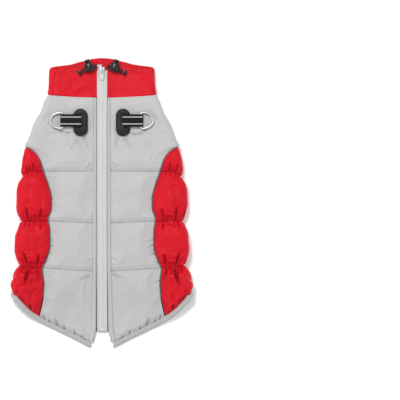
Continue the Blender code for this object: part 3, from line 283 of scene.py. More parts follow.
def armhole_bottom_y(girth):
    drop = np.zeros_like(girth)
    for _ in range(12):
        across = np.minimum(np.abs((girth - ARMHOLE_GIRTH + ARMHOLE_LEAN * drop) / ARMHOLE_HALF_WIDTH), 1.0)
        drop = ARMHOLE_HALF_HEIGHT * (1 - across**ARMHOLE_POWER) ** (1 / ARMHOLE_POWER)
    return ARMHOLE_Y - drop


# ---------------------------------------------------------------- panel edges
def level(y):
    return lambda girth: y + 0.0 * girth


def quilt_level(line, low=None):
    def at(girth):
        y = quilt_y(line, girth, line.fold_y)
        return y if low is None else np.maximum(y, low(girth) + 14.0)

    return at


def zip_side(y):
    return half_girth(y) - placket_seam_x(y) - SEAM_GAP


def piping_gap(y):
    slope = (back_girth(back_seam_x(y + 2), y + 2) - back_girth(back_seam_x(y - 2), y - 2)) / 4
    return PIPING_GAP * np.minimum(np.sqrt(1 + slope * slope), 3.5)


def grey_outer_side(y):
    """Girth of the grey back's outer edge: chest seam, then armhole, then the seam to the red side."""
    along_side = back_girth(back_seam_x(y), y) + piping_gap(y)
    around = armhole_girth(y, 1) + SEAM_GAP
    top = chest_seam(y) + SEAM_GAP
    return np.where(y >= ARM_TOP, top, np.where(y >= SIDE_TOP_Y + 0.5, around, along_side))


def side_outer(y):
    return back_girth(back_seam_x(y), y) - piping_gap(y)


def side_inner(y):
    around = np.where(y > ARMHOLE_Y - ARMHOLE_HALF_HEIGHT, armhole_girth(y, 1), 0.0)
    return np.maximum(belly_seam(y), around) + SEAM_GAP


def chest_side(y):
    share = (y - VEE_BOTTOM[1]) / (VEE_TOP_Y - VEE_BOTTOM[1])
    top = armhole_girth(VEE_TOP_Y, -1)
    vee = VEE_BOTTOM[0] + (top - VEE_BOTTOM[0]) * share - SEAM_GAP
    around = armhole_girth(y, -1) - SEAM_GAP
    shoulder = chest_seam(y) - SEAM_GAP
    return np.where(y >= ARM_TOP, shoulder, np.where(y >= VEE_TOP_Y, around, vee))


def belly_top_y(girth):
    g, top = np.abs(girth), armhole_girth(VEE_TOP_Y, -1)
    share = (g - VEE_BOTTOM[0]) / (top - VEE_BOTTOM[0])
    vee = VEE_BOTTOM[1] + (VEE_TOP_Y - VEE_BOTTOM[1]) * np.clip(share, 0.0, 1.0) - 4 * SEAM_GAP
    under_arm = np.minimum(armhole_bottom_y(g), VEE_TOP_Y) - 2 * SEAM_GAP
    return np.where(g <= VEE_BOTTOM[0], VEE_BOTTOM[1] - 2 * SEAM_GAP, np.where(g <= top, vee, under_arm))


def ring_room(girth, y):
    """Most lift the cloth may have over the neck ring, which lies between it and the floor."""
    reach = np.maximum(np.maximum(RING_FROM_Y - y, y - RING_TO_Y), 0.0)
    away = np.hypot(np.maximum(np.abs(girth) - RING_SIDE, 0.0), reach)
    return belly_z(y) - RING_ROOM + 0.8 * away


# ---------------------------------------------------------------- grids of cloth
Cut = namedtuple("Cut", "girth y pinned_rows levels left right")


def lay_out(left, right, levels, columns, even_left=None):
    """Girth and y of each grid point between two edges. levels are (y at a girth, rows down to the next). Where
    even_left is given, the columns follow it, and only the outer ones turn aside to meet the true edge."""
    girths, ys, marks = [], [], [0]
    for k, ((upper, count), (lower, _)) in enumerate(zip(levels, levels[1:])):
        last = k == len(levels) - 2
        share = (np.arange(count + last) / count)[:, None]
        start = upper(left(np.zeros(1)))
        y = start * (1 - share) + lower(left(np.zeros(1))) * share + np.zeros((1, columns + 1))
        across = np.arange(columns + 1)[None, :] / columns
        for _ in range(14):
            low, high = left(y), right(y)
            smooth = low if even_left is None else even_left(y)
            girth = smooth + across * (high - smooth) + (low - smooth) * np.clip(1 - across / 0.3, 0.0, 1.0) ** 2
            y = upper(girth) * (1 - share) + lower(girth) * share
        girths.append(girth)
        ys.append(y)
        marks.append(marks[-1] + count)
    return Cut(np.vstack(girths), np.vstack(ys), marks, levels, left, right)


def mesh_from(bm, name):
    """Ends a bmesh as a mesh."""
    mesh = bpy.data.meshes.new(name)
    bm.to_mesh(mesh)
    bm.free()
    return mesh


def coordinates(mesh):
    place = np.empty(len(mesh.vertices) * 3)
    mesh.vertices.foreach_get("co", place)
    return place.reshape(-1, 3)


def shape_mesh(mesh, points):
    mesh.vertices.foreach_set("co", (points * MM).astype(np.float32).ravel())
    mesh.update()


def grid_places(mesh, shape):
    """Layer, row and column of each vertex of a mesh that was made from grids 2 across and 1 apart."""
    place = coordinates(mesh)
    columns = np.rint((place[:, 0] + 1) / 2 * (shape[1] - 1)).astype(int)
    rows = np.rint((1 - place[:, 1]) / 2 * (shape[0] - 1)).astype(int)
    return np.rint(place[:, 2]).astype(int), rows, columns


Sheet = namedtuple("Sheet", "name start sewn pressure excess")


def blow_up(sheets, frames):
    """Settles sheets of cloth together. Each is a little larger than its start and is held where it is sewn."""
    scene, made = bpy.context.scene, []
    for sheet in sheets:
        shape, bm = sheet.start.shape[:2], bmesh.new()
        bmesh.ops.create_grid(bm, x_segments=shape[1] - 1, y_segments=shape[0] - 1, size=1.0)
        mesh = mesh_from(bm, sheet.name)
        _, rows, columns = grid_places(mesh, shape)
        shape_mesh(mesh, sheet.start[rows, columns])
        obj = bpy.data.objects.new(sheet.name, mesh)
        scene.collection.objects.link(obj)
        group = obj.vertex_groups.new(name="Sewn")
        group.add(np.flatnonzero(sheet.sewn[rows, columns]).tolist(), 1.0, "REPLACE")
        cloth = obj.modifiers.new("Cloth", "CLOTH")
        settings = cloth.settings
        settings.quality = 6
        settings.mass = 0.01
        settings.air_damping = 2.0
        settings.tension_stiffness = settings.compression_stiffness = 40.0
        settings.shear_stiffness = 16.0
        settings.bending_stiffness = 0.1
        settings.vertex_group_mass = "Sewn"
        settings.shrink_min = -sheet.excess
        settings.use_pressure = sheet.pressure != 0
        settings.uniform_pressure_force = sheet.pressure
        settings.effector_weights.gravity = 0.0
        cloth.collision_settings.use_collision = False
        cloth.collision_settings.use_self_collision = False
        cloth.point_cache.frame_start, cloth.point_cache.frame_end = 1, frames
        made.append((obj, rows, columns))
    for number in range(1, frames + 1):
        scene.frame_set(number)
    graph, settled = bpy.context.evaluated_depsgraph_get(), []
    for sheet, (obj, rows, columns) in zip(sheets, made):
        found = sheet.start.copy()
        found[rows, columns] = coordinates(obj.evaluated_get(graph).to_mesh()) / MM
        settled.append(found)
    for obj, _, _ in made:
        bpy.data.objects.remove(obj)
    scene.frame_set(1)
    return settled


def wall_mesh(name, shape, flip, fine):
    """A closed wall made of a grid and its extruded copy, with the layer, row and column of each vertex. A fine one
    has twice the points on its outer side, and shape then counts those."""
    bm, step = bmesh.new(), 2 if fine else 1
    bmesh.ops.create_grid(bm, x_segments=(shape[1] - 1) // step, y_segments=(shape[0] - 1) // step, size=1.0)
    raised = bmesh.ops.extrude_face_region(bm, geom=bm.faces[:])["geom"]
    top = [v for v in raised if isinstance(v, bmesh.types.BMVert)]
    bmesh.ops.translate(bm, verts=top, vec=(0, 0, 1))
    if fine:
        outer = [e for e in bm.edges if e.verts[0].co.z > 0.5 and e.verts[1].co.z > 0.5]
        bmesh.ops.subdivide_edges(bm, edges=outer, cuts=1, use_grid_fill=True)
    bmesh.ops.recalc_face_normals(bm, faces=bm.faces[:])
    if flip:
        bmesh.ops.reverse_faces(bm, faces=bm.faces[:])
    mesh = mesh_from(bm, name)
    return mesh, *grid_places(mesh, shape)


def fix_normals(mesh, merge=False):
    """Turns a mesh's faces outwards, after its doubles are merged where asked."""
    bm = bmesh.new()
    bm.from_mesh(mesh)
    if merge:
        bmesh.ops.remove_doubles(bm, verts=bm.verts[:], dist=1e-6)
    bmesh.ops.recalc_face_normals(bm, faces=bm.faces[:])
    bm.to_mesh(mesh)
    bm.free()


def set_uv(mesh, per_vertex):
    layer = mesh.uv_layers.new(name="Cut")
    corner = np.empty(len(mesh.loops), int)
    mesh.loops.foreach_get("vertex_index", corner)
    layer.data.foreach_set("uv", (per_vertex[corner] * MM).astype(np.float32).ravel())


def add_piece(name, mesh, material, node=None, body="jacket", backing=None, *, slot):
    """Puts a mesh into the scene as a piece that stands for its solid and moves with a body."""
    mesh.materials.clear()
    for finish in filter(None, (material, backing)):
        mesh.materials.append(finish)
    mesh.shade_smooth()
    mesh.set_sharp_from_angle(angle=math.radians(60.0))
    obj = bpy.data.objects.new(name, mesh)
    bpy.context.scene.collection.objects.link(obj)
    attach(obj, body)
    if node:
        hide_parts(node)
    return obj


def add_wall(name, outer, inner, across, along, flip, material, node, slot, backing=None, fine=False, folds=None):
    """A closed wall of cloth between two grids of points, with its cut as the UV map. backing lines its inner side,
    and folds is how deep in a fold each outer point is, from 0 to 1; it is kept as the Fold attribute, which paints
    shade into the colour."""
    mesh, layer, rows, columns = wall_mesh(name, outer.shape[:2], flip, fine)
    points = np.where(layer[:, None] == 1, outer[rows, columns], inner[rows, columns])
    shape_mesh(mesh, points)
    set_uv(mesh, np.stack((across[rows, columns], along[rows, columns]), axis=-1))
    if folds is not None:
        values = np.where(layer == 1, folds[rows, columns], 0.0).astype(np.float32)
        mesh.attributes.new("Fold", "FLOAT", "POINT").data.foreach_set("value", values)
    if backing:
        for face in mesh.polygons:
            face.material_index = int(not any(layer[k] for k in face.vertices))
    return add_piece(name, mesh, material, node, slot=slot, backing=backing)


def outward(points, side):
    """Unit vectors out of a grid of points."""
    normal = np.cross(np.gradient(points, axis=1), np.gradient(points, axis=0)) * side
    return normal / np.maximum(np.linalg.norm(normal, axis=-1, keepdims=True), 1e-9)


# ---------------------------------------------------------------- folds of the cloth
# a gather of the back of the red sides: which quilt line it starts at, or 3 for the hem, and on which side; its x on
# the line, length, outward lean and share of the puff
Fold = namedtuple("Fold", "line above x length lean depth")
PLACED_FROM, PLACED_WIDTH = 148.0, 1.9  # girth past which only placed gathers are made, and their width
BACK_FOLDS = table(
    Fold,
    (0, True, 97.5, 10.3, 0.1, 0.75), (0, True, 103.0, 8.0, 0.0, 0.7), (0, True, 109.0, 13.8, 0.0, 0.9),
    (0, True, 119.0, 14.9, 0.3, 1.0), (0, True, 114.0, 9.2, 0.1, 0.75), (0, False, 95.5, 9.2, -0.3, 0.85),
    (0, False, 102.0, 8.0, -0.1, 0.7), (0, False, 110.0, 8.0, 0.1, 0.7), (0, False, 117.0, 9.2, 0.2, 0.75),
    (1, True, 118.0, 23.0, 0.12, 1.1), (1, True, 98.9, 20.7, -0.14, 0.95), (1, True, 112.5, 10.3, 0.0, 0.85),
    (1, True, 106.0, 10.3, 0.0, 0.85), (1, True, 102.5, 6.9, 0.0, 0.7), (1, True, 90.0, 9.2, 0.0, 0.7),
    (1, True, 124.5, 10.3, 0.3, 0.85), (1, False, 121.5, 12.6, 0.35, 0.95), (1, False, 114.0, 10.3, 0.1, 0.85),
    (1, False, 98.5, 13.8, -0.1, 0.95), (1, False, 107.0, 8.0, 0.0, 0.75), (1, False, 90.0, 8.0, 0.0, 0.7),
    (2, True, 117.0, 24.1, 0.38, 1.15), (2, True, 112.0, 10.3, 0.15, 0.95), (2, True, 108.0, 9.2, 0.0, 0.9),
    (2, True, 103.7, 23.0, -0.16, 1.15), (2, True, 123.5, 11.5, 0.3, 0.9), (2, True, 98.5, 9.2, -0.2, 0.8),
    (2, False, 116.4, 32.2, 0.24, 1.15), (2, False, 111.0, 11.5, 0.0, 0.95), (2, False, 104.5, 24.1, -0.28, 1.15),
    (2, False, 127.5, 10.3, 0.1, 0.95), (2, False, 121.5, 10.3, 0.2, 0.85), (2, False, 98.5, 9.2, -0.1, 0.7),
    (3, True, 131.0, 6.9, 0.2, 0.6), (3, True, 125.0, 9.2, 0.1, 0.6), (3, True, 115.0, 10.3, -0.15, 0.7),
    (3, True, 108.0, 6.9, -0.1, 0.5),
)
# a crease starts at x0, y0 at its full depth and width, and thins out towards x1, y1; x is away from the middle
Crease = namedtuple("Crease", "x0 y0 x1 y1 depth width")
# soft folds of the chest and of the grey back, which the simulation starts from
CHEST_CREASES = table(
    Crease,
    (52, 160, 58, 124, 2.4, 5.0), (25, 100, 0, 106, 1.6, 4.0), (30, 98, 14, 88, 1.9, 3.6), (14, 88, 0, 84, 2.2, 3.6),
    (31, 72, 18, 78, 1.6, 3.6), (15, 36, 7, 58, 2.0, 4.0), (21, 48, 29, 62, 1.6, 4.0), (38, 112, 27, 106, 1.2, 3.4),
)
BACK_CREASES = table(
    Crease,
    (42, 104, 80, 110, 1.7, 4.5), (34, 98, 24, 86, 1.6, 3.0), (46, 98, 56, 84, 1.3, 4.0),
    (20, -113, 31, -120, 1.2, 3.0), (76, 145, 92, 128, 1.2, 4.0), (98, 112, 84, 98, 1.2, 4.0),
    (60, -122, 54, -138, 0.9, 3.0), (84, -112, 76, -124, 1.0, 3.0), (22, 20, 30, 6, 0.7, 3.0),
)
# narrow ones, pressed in after the simulation: creases of the chest, and puckers by the back's hem and seams
CHEST_LINES = table(
    Crease,
    (31, 99, 12, 106, 0.9, 1.6), (27, 94, 6, 98, 0.8, 1.6), (34, 90, 18, 87, 1.0, 1.7), (4, 85, 16, 82, 1.3, 1.7),
    (32, 76, 20, 80, 0.9, 1.6), (29, 83, 21, 75, 0.7, 1.5), (55, 158, 58, 132, 0.9, 1.8), (16, 34, 9, 52, 1.0, 1.7),
    (24, 48, 30, 60, 0.8, 1.6), (38, 116, 33, 107, 0.7, 1.5), (9, 111, 20, 113, 0.5, 1.6),
)
BACK_LINES = table(
    Crease,
    (21, -223, 23, -217, 1.0, 1.6), (27, -219.5, 33, -211, 1.1, 1.4), (33, -218, 34, -213, 1.6, 1.9),
    (40, -214, 44, -208, 0.8, 1.5), (45, -212, 45, -206, 1.6, 2.1), (51, -209, 53, -205, 1.2, 1.6),
    (61, -204.5, 61, -197, 1.8, 2.1), (66, -201, 68, -197, 0.8, 1.4), (71.5, -199, 75, -184, 1.7, 2.1),
    (77, -196, 77, -191, 1.0, 1.4), (84, -192, 87, -186, 1.4, 1.7), (93, -187, 94, -180, 1.6, 1.8),
    (98, -183, 97, -179, 0.9, 1.4), (70, 117, 62, 111.5, 1.2, 2.0), (62, 111.5, 52, 109.5, 1.3, 2.0),
    (52, 109.5, 43, 113, 1.1, 2.0), (82, -58, 75, -61, 0.9, 1.4), (82, -67, 75, -71, 1.0, 1.5),
    (84, -76, 79, -75, 1.1, 1.3), (85, -82, 78, -80, 1.1, 1.5), (91, -96, 82, -93, 0.8, 1.5),
    (80, 8, 74, 4, 0.7, 1.4), (19, -115, 31, -121, 1.0, 1.6), (26, 108, 21, 90, 0.7, 3.6),
    (37, 104, 46, 88, 0.8, 4.4), (18, 64, 26, 58, 0.6, 2.0), (18, -88, 25, -92, 0.6, 1.6),
    (95, -122, 86, -128, 0.9, 1.6),
)
# soft ones on the back of the red sides
SIDE_LINES = table(
    Crease,
    (112.5, -124, 111.5, -138, 1.6, 2.8), (112, -146, 114.5, -166, 2.2, 2.4), (127, -122, 124, -142, 1.2, 4.0),
    (101, -128, 103, -150, 1.2, 4.0), (104, -60, 101, -84, 1.2, 6.0), (118, 22, 116, 0, 1.0, 6.0),
    (116, -48, 113, -80, 1.2, 6.0),
)


def crease_depth(creases, x, y):
    """Depth of creases on both sides of the middle. On the left they run a little differently, but not at the hem."""
    differ = ease(-x / 20.0) * ease((y + 165.0) / 30.0)
    x = np.abs(x) * (1 - 0.05 * differ)
    y = y + 3.0 * differ * np.sin(x / 13.0)
    depth = np.zeros_like(y)
    for c in creases:
        span_x, span_y = c.x1 - c.x0, c.y1 - c.y0
        along = np.clip(((x - c.x0) * span_x + (y - c.y0) * span_y) / (span_x**2 + span_y**2), 0.0, 1.0)
        away = np.hypot(x - c.x0 - span_x * along, y - c.y0 - span_y * along)
        depth += c.depth * np.exp(-((away / (c.width * (1 - 0.45 * along))) ** 2)) * (1 - 0.4 * along)
    return depth


def gather(place, distance, at, length, lean, depth, width):
    """One gather that starts at a quilt line, widens and dies out at its length. place is x or girth."""
    share = np.clip(distance / length, 0.0, 1.0)
    across = np.abs(place - at - lean * distance) / (width * (0.55 + 1.2 * share * (1 - share)))
    return np.where(distance >= 0, depth * np.exp(-(across**1.2)) * (1 - share) ** 0.7, 0.0)


def gathers(girth, y, lines, low, high, reaches, chance, placed=()):
    """Share of the puff that all gathers beside the lines take away. lines holds each line's y at every point, and
    reaches its longest gather; placed are the gathers of the back, whose part of the lines gets no others."""
    g, depth = np.abs(girth), np.zeros_like(y)
    x, on_back = half_girth(y) - g, g > flat_half(y) + 0.4 * FOLD_TURN
    for number, (line_y, reach) in enumerate(zip(lines, reaches)):
        for above in (True, False):
            distance = (y - line_y) if above else (line_y - y)
            for f in placed:
                if f.line == number and f.above == above:
                    depth += gather(x, distance, f.x, f.length, f.lean, f.depth, PLACED_WIDTH) * on_back
            here = low + chance.uniform(1.0, 6.0)
            while here < high:
                length = 7.0 + reach * chance.uniform(0.0, 1.0) ** 1.2
                lean, deep = chance.uniform(-0.3, 0.3) * 12 / (length + 4), chance.uniform(0.7, 1.1)
                width = chance.uniform(1.4, 2.1)
                if not (placed and here > PLACED_FROM):
                    depth += gather(g, distance, here, length, lean, deep, width)
                here += chance.uniform(5.0, 9.5)
    return np.minimum(depth, 1.1)


def finer(grid):
    """The same grid with a point between each two, on smooth curves."""
    for axis in (0, 1):
        rows = np.moveaxis(grid, axis, 0)
        before = np.concatenate((2 * rows[:1] - rows[1:2], rows[:-2]))
        after = np.concatenate((rows[2:], 2 * rows[-1:] - rows[-2:-1]))
        full = np.empty((2 * len(rows) - 1, *rows.shape[1:]))
        full[::2], full[1::2] = rows, (9 * (rows[:-1] + rows[1:]) - before - after) / 16
        grid = np.moveaxis(full, 0, axis)
    return grid


def swelling(distance, reach):
    """Height of a soft swelling of height 1 at a distance from its foot."""
    return np.sin(math.pi / 2 * np.clip(distance / reach, 0.0, 1.0)) ** 0.8


# thickness at the crown; reach of the swelling from the side edges, the top, the hem and the quilt lines; how much of
# the thickness a quilt line takes away; the quilt lines; soft folds
Padding = namedtuple("Padding", "lift edge top hem quilt quilt_share lines creases")


def padded_start(cut, padding, folds, side):
    """Where a panel's outer cloth starts, its lift, and its inner face."""
    g, y = cut.girth, cut.y
    edges = (
        np.abs(g - cut.left(y)),
        np.abs(cut.right(y) - g),
        cut.levels[0][0](g) - y,
        y - cut.levels[-1][0](g),
    )
    puff = swelling(edges[0], padding.edge) * swelling(edges[1], padding.edge)
    puff *= swelling(edges[2], padding.top) * swelling(edges[3], padding.hem)
    if padding.lines:
        near = np.min([np.abs(y - quilt_y(q, g, y)) for q in padding.lines], axis=0)
        reach = np.where(y < quilt_y(padding.lines[-1], g, y), 0.7, 1.0) * padding.quilt
        puff = puff * (1 - padding.quilt_share * (1 - swelling(near, reach)))
    inner = skin(side * g, y, 0.0)
    lift = SEAM_LIFT + (padding.lift - SEAM_LIFT) * puff * (1 - 0.8 * folds)
    lift = lift - crease_depth(padding.creases, inner[..., 0], y) * puff
    lift = np.maximum(np.minimum(lift, ring_room(g, y)), 1.0)
    return skin(side * g, y, lift), lift, inner


# a panel before it settles: side is -1 where its grid is mirrored; start and lift are of its outer face
Panel = namedtuple("Panel", "name node cut side sewn_rows start lift inner pressure excess detail deep")


def settle(panels, frames, cap, keep_down=None):
    """Simulates panels of cloth together and caps how far their points move."""
    sheets = []
    for p in panels:
        sewn = np.zeros(p.start.shape[:2], bool)
        sewn[[0, -1], :] = sewn[:, [0, -1]] = True
        for row in p.sewn_rows:
            sewn[row] = True
        sheets.append(Sheet(p.name, p.start, sewn, -p.side * p.pressure, p.excess))
    found = []
    for p, place in zip(panels, blow_up(sheets, frames)):
        move = place - p.start
        if not np.isfinite(move).all():
            raise RuntimeError(f"the cloth of {p.name} did not settle")
        out = outward(p.start, p.side)
        size = np.linalg.norm(move, axis=-1, keepdims=True)
        move *= np.minimum(1.0, cap / np.maximum(size, 1e-9))
        rise = np.sum(move * out, axis=-1, keepdims=True)
        low = -(p.lift[..., None] - 1.0)
        high = np.full_like(rise, cap) if keep_down is None else keep_down(p)[..., None]
        move += (np.clip(rise, low, high) - rise) * out
        place = p.start + move
        place[..., 2] = np.maximum(place[..., 2], 0.0)
        found.append(place)
    return found


SEWN = {}  # lines along which thread shows: name of the thread -> list of (points, directions out of the cloth)


def sew(thread, points, out):
    SEWN.setdefault(thread, []).append((points, out))


def add_panels(panels, frames, cap, material, slot, thread, keep_down=None):
    """Settles panels together and adds each as a wall, its sharp gathers pressed in after the simulation."""
    for p, settled in zip(panels, settle(panels, frames, cap, keep_down)):
        girth, y, outer, inner = (finer(grid) for grid in (p.cut.girth, p.cut.y, settled, p.inner))
        out = outward(outer, p.side)
        height = np.sum((outer - inner) * outward(inner, p.side), axis=-1)
        pressed = np.clip(p.detail(girth, y, height), 0.0, np.maximum(height - LEAST_WALL, 0.0))
        outer -= out * pressed[..., None]
        outer[..., 2] = np.maximum(outer[..., 2], 0.0)
        # how much painted shade each outer point gets from the depth of its fold; it darkens the colour through the
        # Fold attribute
        folds = np.clip(pressed / (p.deep * (0.15 + 0.1 * height)), 0.0, 1.0)
        obj = add_wall(p.name, outer, inner, p.side * girth, y, p.side > 0, material, p.node, slot,
                       black_lining(), True, folds)
        out = outward(outer, p.side)
        for row in p.sewn_rows:
            sew(thread, outer[2 * row], out[2 * row])


def panel(name, node, cut, padding, side, sewn_rows, folds, pressure, excess, detail, deep):
    """What is needed to settle a panel. detail gives the depth of its fine folds at a girth, y and height over the
    inner face; on full cloth, a fold about as deep as deep gets the darkest painted shade."""
    start, lift, inner = padded_start(cut, padding, folds, side)
    return Panel(name, node, cut, side, sewn_rows, start, lift, inner, pressure, excess, detail, deep)


# ---------------------------------------------------------------- general shapes
def ramp(first, last, count):
    return np.linspace(first, last, count + 1)


def through(points, spacing):
    """Evenly spaced points on a smooth curve through a few given points."""
    points = [np.asarray(p, float) for p in points]
    ends = [2 * points[0] - points[1], *points, 2 * points[-1] - points[-2]]
    fine = []
    for before, start, stop, after in zip(ends, ends[1:], ends[2:], ends[3:]):
        for t in np.arange(16) / 16:
            pull = (stop - before) * 0.5 * (t - 2 * t * t + t**3)
            push = (after - start) * 0.5 * (t**3 - t * t)
            fine.append(start * (1 - 3 * t * t + 2 * t**3) + stop * (3 * t * t - 2 * t**3) + pull + push)
    fine = np.array([*fine, points[-1]])
    return even(fine, spacing)


def run_of(points):
    """Length along a line at each of its points."""
    return np.concatenate(([0.0], np.cumsum(np.linalg.norm(np.diff(points, axis=0), axis=1))))


def even(points, spacing):
    """The same line with evenly spaced points."""
    run = run_of(points)
    wanted = np.linspace(0.0, run[-1], max(2, round(run[-1] / spacing)) + 1)
    return np.stack([np.interp(wanted, run, points[:, k]) for k in range(3)], axis=-1)


def curve_object(name, points, diameter, closed=False, fine=4):
    data = bpy.data.curves.new(name, "CURVE")
    data.dimensions = "3D"
    spline = data.splines.new("POLY")
    spline.points.add(len(points) - 1)
    for control, p in zip(spline.points, points):
        control.co = (*(Vector(p) * MM), 1.0)
    spline.use_cyclic_u = closed
    data.bevel_depth = diameter / 2 * MM
    data.bevel_resolution = fine
    data.use_fill_caps = not closed
    obj = bpy.data.objects.new(name, data)
    bpy.context.scene.collection.objects.link(obj)
    return obj


def rod_mesh(name, points, diameter, closed=False, fine=4):
    """A round wire or cord along a list of points, as a mesh."""
    obj = curve_object(name, points, diameter, closed, fine)
    bpy.context.view_layer.update()
    mesh = bpy.data.meshes.new_from_object(obj.evaluated_get(bpy.context.evaluated_depsgraph_get()))
    bpy.data.objects.remove(obj)
    fix_normals(mesh, merge=True)
    return mesh


def move(bm, vec):
    bmesh.ops.translate(bm, vec=vec, verts=bm.verts[:])


def transform(bm, matrix):
    bmesh.ops.transform(bm, matrix=matrix, verts=bm.verts[:])


def done(bm, name):
    """Ends a bmesh in mm as a mesh in metres, normals out."""
    bmesh.ops.scale(bm, vec=(MM, MM, MM), verts=bm.verts[:])
    bmesh.ops.recalc_face_normals(bm, faces=bm.faces[:])
    return mesh_from(bm, name)


def round_edges(bm, width, segments, edges):
    bmesh.ops.bevel(
        bm, geom=edges, offset=width, offset_type="OFFSET", affect="EDGES", segments=segments, profile=0.5,
        material=-1, clamp_overlap=True,
    )


def plate(outline, thickness, round_by, hole=(), segments=2):
    """A flat plate from an outline, as thick above as below, its edges rounded."""
    bm = bmesh.new()
    edges = []
    for loop in filter(len, (outline, hole)):
        points = [bm.verts.new((x, y, -thickness / 2)) for x, y in loop]
        edges += [bm.edges.new((points[k - 1], points[k])) for k in range(len(points))]
    bmesh.ops.triangle_fill(bm, edges=edges, use_beauty=True)
    raised = bmesh.ops.extrude_face_region(bm, geom=bm.faces[:])["geom"]
    top = [v for v in raised if isinstance(v, bmesh.types.BMVert)]
    bmesh.ops.translate(bm, verts=top, vec=(0, 0, thickness))
    bmesh.ops.recalc_face_normals(bm, faces=bm.faces[:])
    if round_by:
        rim = [
            e for e in bm.edges
            if len(e.link_faces) == 2 and sorted(abs(round(f.normal.z)) for f in e.link_faces) == [0, 1]
        ]
        round_edges(bm, round_by, segments, rim)
    return bm


def joined(*parts):
    """One bmesh of several, which are freed."""
    whole = bmesh.new()
    for part in parts:
        mesh = mesh_from(part, "part")
        whole.from_mesh(mesh)
        bpy.data.meshes.remove(mesh)
    return whole


def bmesh_of(mesh):
    """A bmesh in mm from a mesh in metres, which is removed."""
    bm = bmesh.new()
    bm.from_mesh(mesh)
    bmesh.ops.scale(bm, vec=(1 / MM, 1 / MM, 1 / MM), verts=bm.verts[:])
    bpy.data.meshes.remove(mesh)
    return bm


def spin_round(bm, outline, steps):
    """Spins an outline all the way about Z and closes it."""
    bmesh.ops.spin(
        bm, geom=outline, cent=(0, 0, 0), axis=(0, 0, 1), dvec=(0, 0, 0), angle=2 * math.pi, steps=steps,
        use_merge=True, use_duplicate=False,
    )
    bmesh.ops.remove_doubles(bm, verts=bm.verts[:], dist=1e-4)
    bmesh.ops.recalc_face_normals(bm, faces=bm.faces[:])


def turned(profile, steps=40):
    """A round body spun about Z from (radius, height) points, both ends on the axis."""
    bm = bmesh.new()
    verts = [bm.verts.new((radius, 0, height)) for radius, height in profile]
    edges = [bm.edges.new(pair) for pair in zip(verts, verts[1:])]
    spin_round(bm, verts + edges, steps)
    return bm


APART = 8.0  # mm between copies while they are counted


def copies_mesh(name, bm, frames):
    """One mesh of a small shape repeated. frames are (axes as columns, place) in mm; the shape is under 3 across."""
    count, made = len(frames), 1
    while made < count:
        copy = bmesh.ops.duplicate(bm, geom=bm.verts[:] + bm.edges[:] + bm.faces[:])["geom"]
        verts = [v for v in copy if isinstance(v, bmesh.types.BMVert)]
        bmesh.ops.translate(bm, verts=verts, vec=(0, 0, made * APART))
        made *= 2
    extra = [v for v in bm.verts if v.co.z > (count - 0.5) * APART]
    bmesh.ops.delete(bm, geom=extra, context="VERTS")
    mesh = mesh_from(bm, name)
    place = coordinates(mesh)
    which = np.rint(place[:, 2] / APART).astype(int)
    place[:, 2] -= which * APART
    axes = np.array([f[0] for f in frames])
    centres = np.array([f[1] for f in frames])
    shape_mesh(mesh, np.einsum("nij,nj->ni", axes[which], place) + centres[which])
    fix_normals(mesh)
    return mesh


def line_frames(points, out, length, gap, width, height, lift, chance):
    """Frames of stitches along a line that lies on cloth. None goes into the floor."""
    run = run_of(points)
    frames, at = [], gap + length / 2
    while at < run[-1] - length / 2:
        half = length / 2
        ends = [np.array([np.interp(at + d, run, points[:, k]) for k in range(3)]) for d in (-half, half)]
        normal = np.array([np.interp(at, run, out[:, k]) for k in range(3)])
        along = ends[1] - ends[0]
        along /= max(np.linalg.norm(along), 1e-6)
        normal -= along * normal.dot(along)
        normal /= max(np.linalg.norm(normal), 1e-6)
        across = np.cross(normal, along)
        along = along + across * chance.uniform(-0.08, 0.08)
        frames.append((
            np.stack((along * half, across * width, normal * height), axis=1),
            np.maximum((ends[0] + ends[1]) / 2 + normal * lift, (-1e3, -1e3, 0.3)),
        ))
        at += length + gap
    return frames


# ---------------------------------------------------------------- finishes
def new_group(name, inputs, outputs):
    tree = bpy.data.node_groups.new(name, "ShaderNodeTree")
    for label, kind, value in inputs:
        tree.interface.new_socket(label, in_out="INPUT", socket_type="NodeSocket" + kind).default_value = value
    for label, kind in outputs:
        tree.interface.new_socket(label, in_out="OUTPUT", socket_type="NodeSocket" + kind)
    return tree, tree.nodes.new("NodeGroupInput"), tree.nodes.new("NodeGroupOutput")


def feed(tree, made, inputs):
    """Links or sets the inputs of a node that was just made."""
    for socket, value in inputs.items():
        if isinstance(value, bpy.types.NodeSocket):
            tree.links.new(value, made.inputs[socket])
        else:
            made.inputs[socket].default_value = value
    return made


def node(tree, kind, inputs=None, **settings):
    made = tree.nodes.new("ShaderNode" + kind)
    for key, value in settings.items():
        setattr(made, key, value)
    return feed(tree, made, inputs or {})


def maths(tree, operation, *values):
    return node(tree, "Math", dict(enumerate(values)), operation=operation).outputs[0]


def weave_group():
    """Threads over and under each other. Vector is in mm, and Height runs from 0 to 1."""
    tree, given, out = new_group(
        "Weave", [("Vector", "Vector", (0, 0, 0)), ("Threads a mm", "Float", 2.0)], [("Height", "Float")]
    )
    scale = maths(tree, "MULTIPLY", given.outputs["Threads a mm"], 0.5)
    waves = [
        node(tree, "TexWave", {"Vector": given.outputs["Vector"], "Scale": scale, "Distortion": 0.6},
             bands_direction=direction).outputs["Fac"]
        for direction in ("X", "Y")
    ]
    tree.links.new(maths(tree, "MAXIMUM", *waves), out.inputs["Height"])
    return tree


def noise(tree, given, inputs, **settings):
    """Noise over a group's Vector, its features as large as the group's Size."""
    scale = maths(tree, "DIVIDE", 1.0, given.outputs["Size"])
    inputs = {"Vector": given.outputs["Vector"], "Scale": scale, **inputs}
    return node(tree, "TexNoise", inputs, **settings).outputs["Fac"]


